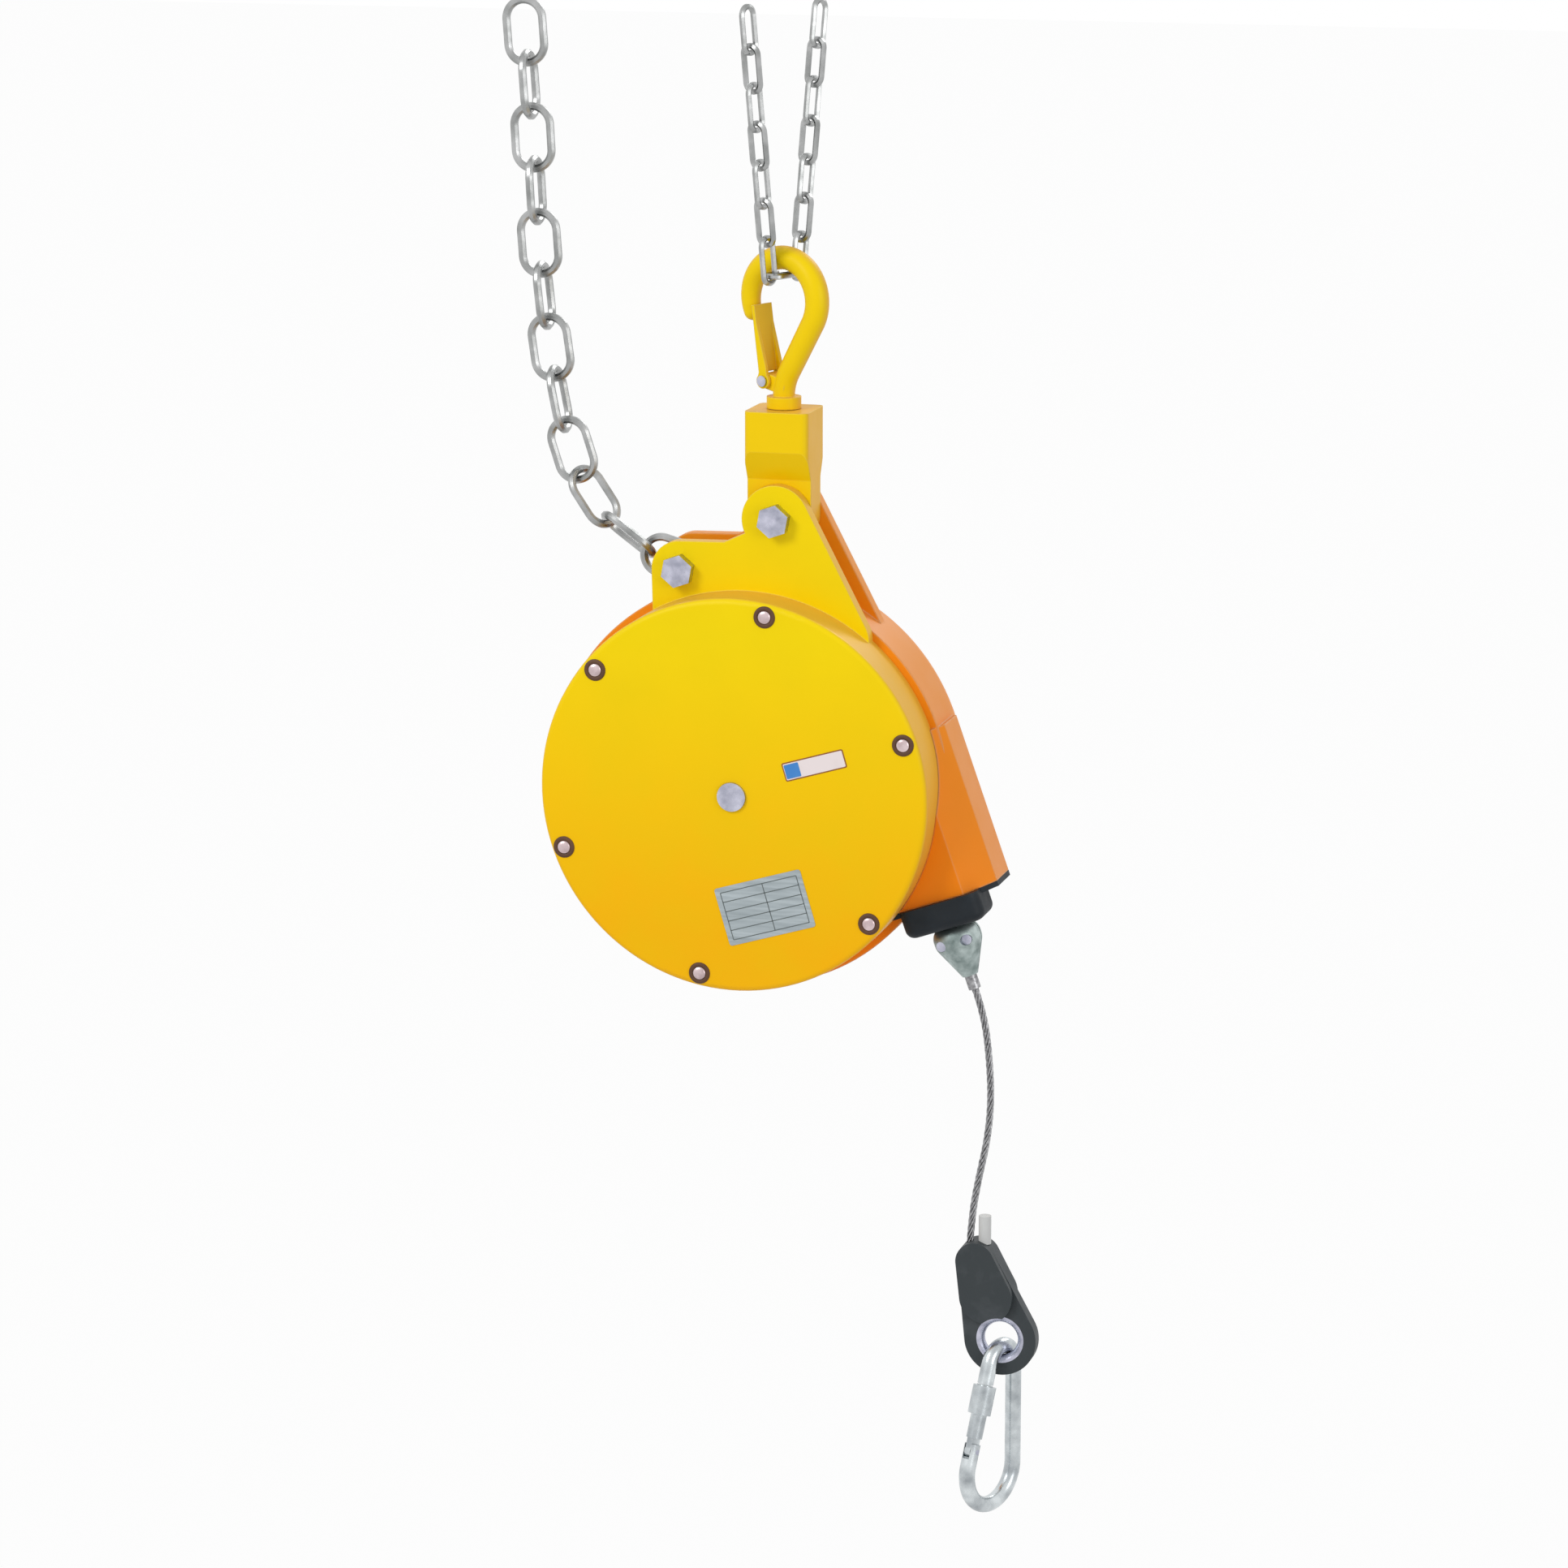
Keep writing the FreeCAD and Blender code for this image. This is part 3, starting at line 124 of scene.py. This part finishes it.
LEAD_LENGTH = 118 * MM  # the straight rope from the drum to the end of the ferrule
LEAD_STEP = 1.6 * MM

# Cover: places are X and Z from the drum axis, upright, before the housing hangs tilted
HOUSING_TILT = math.radians(19.5)
COVER_SCREWS = 6
SCREW_CIRCLE = 102.5 * MM
LABEL_TURN = math.radians(-3)
STRIP_PLACE = (51 * MM, 3.5 * MM)
STRIP_SIZE = (36 * MM, 10.5 * MM)
PLATE_PLACE = (-2.6 * MM, -64 * MM)
PLATE_SIZE = (51 * MM, 33 * MM)
PLATE_ROWS = 5
PLATE_COLUMNS = (-0.5, 0.05, 0.5)  # places of the upright lines, as shares of the ruled width
PLATE_MARGIN = 3 * MM
PLATE_LIFT = 0.3 * MM
PLATE_CORNER = 1.5 * MM
LINE_WIDTH = 0.5 * MM
LINE_LIFT = 0.36 * MM
LINE_CORNER = 0.2 * MM
EDGE_LIFT, FIELD_LIFT, BLOCK_LIFT = 0.15 * MM, 0.25 * MM, 0.35 * MM
EDGE_CORNER, FIELD_CORNER, BLOCK_CORNER = 1 * MM, 0.6 * MM, 0.5 * MM
STRIP_BORDER = 0.7 * MM
BLOCK_SIZE = (8.4 * MM, 7.9 * MM)
BLOCK_SHIFT = -12.75 * MM  # from the strip's centre
# the dark ring round each cover screw head: a painted shadow of the gap in its counterbore
SHADOW_RING_PROFILE = (  # radius, and height over the cover's face
    (3.7 * MM, 0.3 * MM),
    (3.9 * MM, 0.75 * MM),
    (5.6 * MM, 0.75 * MM),
    (6.1 * MM, 0.1 * MM),
    (6.1 * MM, -0.4 * MM),
)
CAP_PROFILE = (
    (3.8 * MM, -0.5 * MM),
    (3.7 * MM, 0.7 * MM),
    (3.1 * MM, 1.2 * MM),
    (1.8 * MM, 1.5 * MM),
    (0.05 * MM, 1.55 * MM),
)


# ---------------------------------------------------------------- small helpers
def linear(red, green, blue):
    """Scene colour of an sRGB colour given as 0 to 255."""
    def channel(value):
        value /= 255
        return value / 12.92 if value <= 0.04045 else ((value + 0.055) / 1.055) ** 2.4
    return channel(red), channel(green), channel(blue), 1.0


def add_object(name, data):
    piece = bpy.data.objects.new(name, data)
    bpy.context.scene.collection.objects.link(piece)
    return piece


def mesh_piece(name, vertices, faces, material, smooth=False):
    mesh = bpy.data.meshes.new(name)
    mesh.from_pydata([tuple(v) for v in vertices], [], faces)
    mesh.validate()
    for polygon in mesh.polygons:
        polygon.use_smooth = smooth
    mesh.materials.append(material)
    return add_object(name, mesh)


# ---------------------------------------------------------------- materials
class Nodes:
    """A new material's node tree with its Principled shader, and short calls to add to it."""

    def __init__(self, name):
        self.material = bpy.data.materials.new(name)
        self.material.use_nodes = True
        self.tree = self.material.node_tree
        self.shader = self.tree.nodes["Principled BSDF"]
        self.place = self.add("ShaderNodeTexCoord").outputs["Object"]

    def add(self, kind, **settings):
        node = self.tree.nodes.new(kind)
        for key, value in settings.items():
            setattr(node, key, value)
        return node

    def join(self, output, socket):
        self.tree.links.new(output, socket)

    def noise(self, scale, detail=3.0, stretch=None):
        """Noise between 0 and 1, with its features 1 / scale metres apart."""
        node = self.add("ShaderNodeTexNoise")
        node.inputs["Scale"].default_value = scale
        node.inputs["Detail"].default_value = detail
        place = self.place
        if stretch:
            mapping = self.add("ShaderNodeMapping")
            mapping.inputs["Scale"].default_value = stretch
            self.join(place, mapping.inputs["Vector"])
            place = mapping.outputs["Vector"]
        self.join(place, node.inputs["Vector"])
        return node.outputs["Fac"]

    def height(self, low, high):
        """0 at height low to 1 at height high."""
        split = self.add("ShaderNodeSeparateXYZ")
        self.join(self.place, split.inputs[0])
        return self.span(split.outputs["Z"], low, high)

    def span(self, value, low, high, to_low=0.0, to_high=1.0):
        node = self.add("ShaderNodeMapRange")
        node.inputs["From Min"].default_value = low
        node.inputs["From Max"].default_value = high
        node.inputs["To Min"].default_value = to_low
        node.inputs["To Max"].default_value = to_high
        self.join(value, node.inputs["Value"])
        return node.outputs["Result"]

    def blend(self, factor, first, second):
        """Mixes two colours, each a value or another node's output."""
        node = self.add("ShaderNodeMix", data_type="RGBA")
        self.join(factor, node.inputs["Factor"])
        # a mix of colours uses inputs 6 and 7 and output 2
        for socket, colour in ((node.inputs[6], first), (node.inputs[7], second)):
            if isinstance(colour, tuple):
                socket.default_value = colour
            else:
                self.join(colour, socket)
        return node.outputs[2]

    def colour(self, value):
        if isinstance(value, tuple):
            self.shader.inputs["Base Color"].default_value = value
        else:
            self.join(value, self.shader.inputs["Base Color"])

    def roughness(self, factor, low, high):
        self.join(self.span(factor, 0.25, 0.75, low, high), self.shader.inputs["Roughness"])

    def rounded(self, radius):
        """The surface's normal with its edges rounded off."""
        node = self.add("ShaderNodeBevel", samples=6)
        node.inputs["Radius"].default_value = radius
        return node.outputs["Normal"]

    def painted_wall_light(self):
        """Mask of the painted wall shade and sheen: 0 on faces that look to the front or back, the
        full wall share on walls that run in depth.
        """
        split = self.add("ShaderNodeSeparateXYZ")
        self.join(self.add("ShaderNodeTexCoord").outputs["Normal"], split.inputs[0])
        depth = self.add("ShaderNodeMath", operation="ABSOLUTE")
        self.join(split.outputs["Y"], depth.inputs[0])
        return self.span(depth.outputs["Value"], 0.75, 0.15, 0.0, WALL_PAINTED_LIGHT)

    def painted_edge_highlight(self, radius):
        """Mask of the painted edge highlight: 0 on open faces, the full highlight share at a sharp
        edge.
        """
        facing = self.add("ShaderNodeVectorMath", operation="DOT_PRODUCT")
        self.join(self.rounded(radius), facing.inputs[0])
        self.join(self.add("ShaderNodeNewGeometry").outputs["Normal"], facing.inputs[1])
        return self.span(facing.outputs["Value"], 1.0, 0.8, 0.0, EDGE_HIGHLIGHT)

    def bump(self, height, depth, strength, normal=None):
        node = self.add("ShaderNodeBump")
        if normal:
            self.join(normal, node.inputs["Normal"])
        node.inputs["Strength"].default_value = strength
        node.inputs["Distance"].default_value = depth
        self.join(height, node.inputs["Height"])
        self.join(node.outputs["Normal"], self.shader.inputs["Normal"])


def enamel(name, top, bottom, heights, side, edge=(255, 226, 120), rounding=1.0 * MM):
    """Stove enamel: mottled, with painted light: a warm reflection low down, shade or sheen on
    walls that run in depth, and a highlight along the edges.
    """
    nodes = Nodes(name)
    # painted light: the colour runs from bottom to top over the given heights, a painted warm
    # reflection that is strongest low down
    base = nodes.blend(nodes.height(*heights), linear(*bottom), linear(*top))
    shade = (top[0] * MOTTLE_SHADE, top[1] * MOTTLE_SHADE, top[2])
    mottle = nodes.span(nodes.noise(28, 4.0), 0.35, 0.75, 0.0, MOTTLE)
    painted = nodes.blend(mottle, base, linear(*shade))
    # painted shade on walls that run in depth; on the orange casting a paler painted sheen
    wall_lit = nodes.blend(nodes.painted_wall_light(), painted, linear(*side))
    # painted highlight along sharp edges
    nodes.colour(nodes.blend(nodes.painted_edge_highlight(rounding), wall_lit, linear(*edge)))
    nodes.roughness(nodes.noise(60), 0.34, 0.46)
    nodes.bump(nodes.noise(700, 2.0), 0.05 * MM, 0.35, nodes.rounded(rounding))
    nodes.shader.inputs["Specular IOR Level"].default_value = ENAMEL_SPECULAR
    return nodes.material


def metal(name, light, dark, roughness, grain=160, stretch=None, metallic=1.0):
    """Bare or plated metal with cloudy tone, fine scratches and uneven polish."""
    nodes = Nodes(name)
    nodes.colour(nodes.blend(nodes.span(nodes.noise(grain, 5.0, stretch), 0.3, 0.7),
                             linear(*light), linear(*dark)))
    nodes.roughness(nodes.noise(grain * 2, 4.0, stretch), *roughness)
    nodes.bump(nodes.noise(grain * 8, 2.0, stretch), 0.03 * MM, 0.4)
    nodes.shader.inputs["Metallic"].default_value = metallic
    return nodes.material


def moulded(name, colour, worn, roughness=(0.45, 0.6), grain=900):
    """Moulded plastic or rubber: fine grain, slight scuffing."""
    nodes = Nodes(name)
    scuff = nodes.span(nodes.noise(70, 6.0), 0.5, 0.75, 0.0, 0.5)
    nodes.colour(nodes.blend(scuff, linear(*colour), linear(*worn)))
    nodes.roughness(nodes.noise(90), *roughness)
    nodes.bump(nodes.noise(grain, 2.0), 0.06 * MM, 0.5)
    nodes.shader.inputs["Specular IOR Level"].default_value = PLASTIC_SPECULAR
    return nodes.material


def finishes():
    """The finish of each of the record's material slots."""
    low, high = (corner.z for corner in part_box("front_cover"))
    # heights of the painted warm reflection on the cover
    face = tuple(low + height for height in COVER_PAINTED_GLOW)
    whole, above = (low, high), (high, 0.0)
    # each enamel gives top and bottom colours with the heights of its painted warm reflection, the
    # side colour of its painted wall shade or sheen, and its painted edge highlight
    return {
        "yellow_casting": enamel("yellow_casting", (250, 219, 0), (252, 183, 0), face,
                                 (222, 158, 72)),
        "orange_casting": enamel("orange_casting", (246, 152, 28), (252, 134, 10), whole,
                                 (226, 150, 76), (252, 206, 160), 1.6 * MM),
        "yellow_paint": enamel("yellow_paint", (249, 214, 4), (247, 206, 4), above, (220, 158, 66)),
        "zinc": metal("zinc", (206, 206, 222), (158, 160, 176), (0.22, 0.36)),
        "chain_steel": metal("chain_steel", (186, 187, 187), (142, 144, 143), (0.26, 0.38), 90),
        "black_steel": metal("black_steel", (52, 54, 58), (30, 31, 34), (0.35, 0.5)),
        "rope_steel": metal("rope_steel", (178, 178, 180), (112, 112, 114), (0.28, 0.42), 500),
        "stop_casting": metal("stop_casting", (190, 202, 200), (118, 132, 130), (0.4, 0.55), 120),
        "rubber": moulded("rubber", (8, 19, 27), (24, 36, 44), (0.5, 0.66), 500),
        "black_plastic": moulded("black_plastic", (52, 58, 61), (84, 88, 92)),
        "white_plastic": moulded("white_plastic", (206, 207, 206), (178, 180, 180)),
        "bronze": metal("bronze", (190, 142, 82), (138, 96, 50), (0.3, 0.45)),
        "drum_aluminium": metal("drum_aluminium", (190, 192, 194), (142, 144, 148), (0.3, 0.45)),
        "spring_steel": metal("spring_steel", (96, 100, 108), (56, 58, 64), (0.25, 0.4)),
        "snap_steel": metal("snap_steel", (216, 222, 224), (158, 164, 168), (0.2, 0.34), 90),
    }


def trim_finishes():
    """The finishes of the small trim that only this script makes."""
    return {
        "strip_white": moulded("strip_white", (238, 226, 226), (224, 210, 206), (0.3, 0.4), 300),
        "strip_edge": moulded("strip_edge", (150, 92, 42), (120, 74, 36), (0.4, 0.5), 300),
        "strip_blue": moulded("strip_blue", (66, 134, 206), (86, 150, 214), (0.3, 0.4), 300),
        "plate_metal": metal("plate_metal", (182, 192, 196), (154, 164, 168), (0.38, 0.5), 40,
                             (1, 1, 12), metallic=0.6),
        "plate_ink": moulded("plate_ink", (96, 104, 104), (120, 128, 126), (0.5, 0.6), 300),
        # painted shadow: the colour of the dark ring round each cover screw
        "painted_screw_shadow": moulded("painted_screw_shadow", (92, 62, 44), (120, 84, 58), (0.5, 0.6), 300),
        "screw_head": metal("screw_head", (226, 206, 208), (186, 164, 166), (0.24, 0.36)),
    }


def dress_nodes(frame, materials):
    """Gives every CAD node the finish of its slot, which its imported material is named after."""
    for node in frame["nodes"].values():
        for place in node.material_slots:
            slot = place.material.name.split(".")[0]
            place.material = materials[slot]


# ---------------------------------------------------------------- camera, light and studio
def aim(thing, target):
    thing.rotation_euler = (target - thing.location).to_track_quat("-Z", "Y").to_euler()


def view_direction():
    """From the object towards the camera."""
    level = math.cos(VIEW_ELEVATION)
    return Vector((math.sin(VIEW_AZIMUTH) * level, -math.cos(VIEW_AZIMUTH) * level,
                   math.sin(VIEW_ELEVATION)))


def make_camera():
    data = bpy.data.cameras.new("camera")
    data.angle = 2 * math.atan(VIEW_WIDTH / 2 / VIEW_DISTANCE)
    camera = add_object("camera", data)
    camera.location = VIEW_CENTRE + view_direction() * VIEW_DISTANCE
    aim(camera, VIEW_CENTRE)
    bpy.context.scene.camera = camera


def make_lamp(name, place, size, power):
    data = bpy.data.lights.new(name, "AREA")
    data.shape = "DISK"
    data.size = size
    data.energy = power
    lamp = add_object(name, data)
    lamp.location = VIEW_CENTRE + Vector(place)
    aim(lamp, VIEW_CENTRE)


def seen_directly(tree):
    """1 on rays from the camera and in mirror images, 0 on rays that carry light."""
    path = tree.nodes.new("ShaderNodeLightPath")
    total = path.outputs["Is Camera Ray"]
    for ray in ("Is Glossy Ray", "Is Transmission Ray"):
        add = tree.nodes.new("ShaderNodeMath")
        add.operation = "MAXIMUM"
        tree.links.new(total, add.inputs[0])
        tree.links.new(path.outputs[ray], add.inputs[1])
        total = add.outputs[0]
    return total


def make_world():
    """White to look at, with less light than that falling on the object."""
    world = bpy.data.worlds.new("studio")
    world.use_nodes = True
    bpy.context.scene.world = world
    tree = world.node_tree
    background = tree.nodes["Background"]
    background.inputs["Color"].default_value = (1, 1, 1, 1)
    strength = tree.nodes.new("ShaderNodeMapRange")
    strength.inputs["To Min"].default_value = AMBIENT
    strength.inputs["To Max"].default_value = 1.0
    tree.links.new(seen_directly(tree), strength.inputs["Value"])
    tree.links.new(strength.outputs["Result"], background.inputs["Strength"])


def floor_material():
    """Pale floor that looks white and still keeps part of a shadow."""
    nodes = Nodes("floor")
    nodes.shader.inputs["Base Color"].default_value = (0.9, 0.9, 0.9, 1)
    nodes.shader.inputs["Roughness"].default_value = 1.0
    nodes.shader.inputs["Specular IOR Level"].default_value = 0.0
    white = nodes.add("ShaderNodeEmission")
    mix = nodes.add("ShaderNodeMixShader")
    share = nodes.span(seen_directly(nodes.tree), 0, 1, 0.0, FLOOR_GLOW)
    nodes.join(share, mix.inputs[0])
    nodes.join(nodes.shader.outputs[0], mix.inputs[1])
    nodes.join(white.outputs[0], mix.inputs[2])
    nodes.join(mix.outputs[0], nodes.tree.nodes["Material Output"].inputs["Surface"])
    return nodes.material


def make_floor(height):
    corners = [(x * FLOOR_HALF, y * FLOOR_HALF, height)
               for x, y in ((-1, -1), (1, -1), (1, 1), (-1, 1))]
    mesh_piece("floor", corners, [(0, 1, 2, 3)], floor_material())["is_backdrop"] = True


def make_studio():
    make_world()
    for lamp in LAMPS:
        make_lamp(*lamp)
    make_floor(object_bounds()[0][2] - ROPE_TRAVEL - FLOOR_DROP)
    bpy.context.scene.view_settings.view_transform = "Standard"


# ---------------------------------------------------------------- rope
def spline_points(name, points):
    """Points along the smooth line through a route, close together."""
    curve = bpy.data.curves.new(name, "CURVE")
    curve.dimensions = "3D"
    curve.resolution_u = 32
    spline = curve.splines.new("NURBS")
    spline.points.add(len(points) - 1)
    for point, place in zip(spline.points, points):
        point.co = (*place, 1.0)
    spline.order_u = 3
    spline.use_endpoint_u = True
    holder = add_object(name, curve)
    bpy.context.view_layer.update()
    mesh = bpy.data.meshes.new_from_object(holder)
    line = [v.co.copy() for v in mesh.vertices]
    bpy.data.objects.remove(holder)
    return line


def evenly(line, step):
    """The same line with its points a fixed step apart, and both ends kept."""
    lengths = [0.0]
    for a, b in zip(line, line[1:]):
        lengths.append(lengths[-1] + (b - a).length)
    count = max(2, round(lengths[-1] / step))
    points, k = [], 0
    for n in range(count + 1):
        along = lengths[-1] * n / count
        while k < len(line) - 2 and lengths[k + 1] < along:
            k += 1
        share = (along - lengths[k]) / max(lengths[k + 1] - lengths[k], 1e-9)
        points.append(line[k].lerp(line[k + 1], share))
    return points


def frames_along(line, side):
    """Tangent and two normals at each point, which turn with the line and don't twist."""
    frames = []
    for n, point in enumerate(line):
        tangent = (line[min(n + 1, len(line) - 1)] - line[max(n - 1, 0)]).normalized()
        side = (side - tangent * side.dot(tangent)).normalized()
        frames.append((point, side, tangent.cross(side)))
    return frames


def ring_faces(first, rings, sides):
    """The faces between rings of vertices that follow one another, from vertex first on."""
    faces = []
    for ring in range(rings - 1):
        for k in range(sides):
            a, b = first + ring * sides + k, first + ring * sides + (k + 1) % sides
            faces.append((a, b, b + sides, a + sides))
    return faces


def tube_faces(first, rings, sides):
    """The same with both ends closed."""
    faces = ring_faces(first, rings, sides)
    faces.append(tuple(first + k for k in reversed(range(sides))))
    last = first + (rings - 1) * sides
    faces.append(tuple(last + k for k in range(sides)))
    return faces


def ring_points(centre, u, v, radius, sides):
    """A circle of points about centre in the plane of u and v."""
    steps = (2 * math.pi * k / sides for k in range(sides))
    return [centre + u * (radius * math.cos(a)) + v * (radius * math.sin(a)) for a in steps]


def laid_rope(name, line, material):
    """A core and six round strands that twist round it, as one mesh."""
    strand = ROPE_DIAMETER / 6  # a strand's radius: three strands lie side by side across the rope
    frames = frames_along(line, Vector((0, 1, 0)))
    step = (line[1] - line[0]).length
    vertices, faces = [], []
    for k in range(STRANDS + 1):
        first = len(vertices)
        for n, (point, u, v) in enumerate(frames):
            turn = 2 * math.pi * (n * step / STRAND_PITCH + k / STRANDS)
            out = 2 * strand if k < STRANDS else 0.0
            centre = point + u * (out * math.cos(turn)) + v * (out * math.sin(turn))
            vertices += ring_points(centre, u, v, strand, STRAND_SIDES)
        faces += tube_faces(first, len(line), STRAND_SIDES)
    return mesh_piece(name, vertices, faces, material, smooth=True)


def rope_depth():
    """The depth of the plane that the rope hangs in."""
    return sum(corner.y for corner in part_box("rope_tail")) / 2


def make_rope(materials):
    """The free rope between the stop and the end fitting."""
    route = [Vector((x, rope_depth(), z)) for x, z in ROPE_ROUTE]
    line = evenly(spline_points("rope_line", route), STRAND_STEP)
    rope = laid_rope("rope_strands", line, materials["rope_steel"])
    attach(rope, "rope_end")
    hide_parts("wire_rope")


def make_lead(materials):
    """The straight rope through the bush, which pays out between the housing and the stop."""
    ferrule = Vector((ROPE_ROUTE[0][0], rope_depth(), ROPE_ROUTE[0][1]))
    up = Vector((-math.sin(HOUSING_TILT), 0, math.cos(HOUSING_TILT)))
    line = evenly([ferrule, ferrule + up * LEAD_LENGTH], LEAD_STEP)
    lead = laid_rope("rope_lead_strands", line, materials["rope_steel"])
    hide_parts("rope_lead")
    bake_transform(lead)


# ---------------------------------------------------------------- cover trim
def on_cover(x, z, lift=0.0):
    """A place on the cover's face, lift in front of it, as the housing hangs."""
    axle_low, axle_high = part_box("axle")
    axis = (axle_low + axle_high) / 2
    cos, sin = math.cos(HOUSING_TILT), math.sin(HOUSING_TILT)
    return Vector((axis.x + x * cos - z * sin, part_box("front_cover")[0].y - lift,
                   axis.z + x * sin + z * cos))


def rounded_corners(size, radius, steps=4):
    """The outline of a flat plate with round corners, about its centre."""
    points = []
    for quarter, (sx, sz) in enumerate(((1, 1), (-1, 1), (-1, -1), (1, -1))):
        for k in range(steps + 1):
            angle = math.pi / 2 * (quarter + k / steps)
            points.append((sx * (size[0] / 2 - radius) + radius * math.cos(angle),
                           sz * (size[1] / 2 - radius) + radius * math.sin(angle)))
    return points


def cover_plate(name, place, outline, lift, material):
    """A thin plate that lies on the cover's face."""
    cos, sin = math.cos(LABEL_TURN), math.sin(LABEL_TURN)
    flat = [(place[0] + x * cos - z * sin, place[1] + x * sin + z * cos) for x, z in outline]
    count = len(flat)
    vertices = [on_cover(x, z, height) for height in (lift, 0) for x, z in flat]
    faces = [tuple(range(count))]
    faces += [(k, k + count, (k + 1) % count + count, (k + 1) % count) for k in range(count)]
    plate = mesh_piece(name, vertices, faces, material)
    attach(plate, "housing")


def shifted(outline, x, z):
    """An outline moved across and up."""
    return [(a + x, b + z) for a, b in outline]


def make_strip_label(trim):
    """Plain white strip with a thin dark edge and a blue block at its left end."""
    inner = tuple(size - 2 * STRIP_BORDER for size in STRIP_SIZE)
    cover_plate("strip_edge", STRIP_PLACE, rounded_corners(STRIP_SIZE, EDGE_CORNER), EDGE_LIFT,
                trim["strip_edge"])
    cover_plate("strip_field", STRIP_PLACE, rounded_corners(inner, FIELD_CORNER), FIELD_LIFT,
                trim["strip_white"])
    block = shifted(rounded_corners(BLOCK_SIZE, BLOCK_CORNER), BLOCK_SHIFT, 0)
    cover_plate("strip_block", STRIP_PLACE, block, BLOCK_LIFT, trim["strip_blue"])


def make_rating_plate(trim):
    """Bare metal plate with ruled rows, left blank."""
    cover_plate("rating_plate", PLATE_PLACE, rounded_corners(PLATE_SIZE, PLATE_CORNER), PLATE_LIFT,
                trim["plate_metal"])
    width, height = (size - 2 * PLATE_MARGIN for size in PLATE_SIZE)
    rule = rounded_corners((width, LINE_WIDTH), LINE_CORNER)
    for row in range(PLATE_ROWS + 1):
        line = shifted(rule, 0, height * (0.5 - row / PLATE_ROWS))
        cover_plate(f"plate_rule_{row}", PLATE_PLACE, line, LINE_LIFT, trim["plate_ink"])
    post = rounded_corners((LINE_WIDTH, height), LINE_CORNER)
    for column, share in enumerate(PLATE_COLUMNS):
        line = shifted(post, share * width, 0)
        cover_plate(f"plate_column_{column}", PLATE_PLACE, line, LINE_LIFT, trim["plate_ink"])


def turned_form(name, centre, profile, material, sides=32):
    """A form turned about the depth axis, from a profile of radius and lift."""
    vertices = []
    for radius, lift in profile:
        for k in range(sides):
            angle = 2 * math.pi * k / sides
            offset = Vector((radius * math.cos(angle), -lift, radius * math.sin(angle)))
            vertices.append(centre + offset)
    faces = ring_faces(0, len(profile), sides)
    piece = mesh_piece(name, vertices, faces, material, smooth=True)
    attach(piece, "housing")


def make_screw_trim(trim):
    """Each cover screw's dark ring, a painted shadow of the gap round its head, and the domed cap
    that closes its socket.
    """
    for k in range(COVER_SCREWS):
        angle = 2 * math.pi * k / COVER_SCREWS
        centre = on_cover(SCREW_CIRCLE * math.cos(angle), SCREW_CIRCLE * math.sin(angle))
        # a raised dark ring that paints the shadow in the gap round the head
        turned_form(f"screw_shadow_ring_{k}", centre, SHADOW_RING_PROFILE, trim["painted_screw_shadow"])
        turned_form(f"screw_cap_{k}", centre, CAP_PROFILE, trim["screw_head"])


# ---------------------------------------------------------------- build
def main():
    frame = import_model()
    make_camera()
    materials = finishes()
    make_rope(materials)
    make_lead(materials)
    trim = trim_finishes()
    make_strip_label(trim)
    make_rating_plate(trim)
    make_screw_trim(trim)
    dress_nodes(frame, materials)
    make_studio()


main()
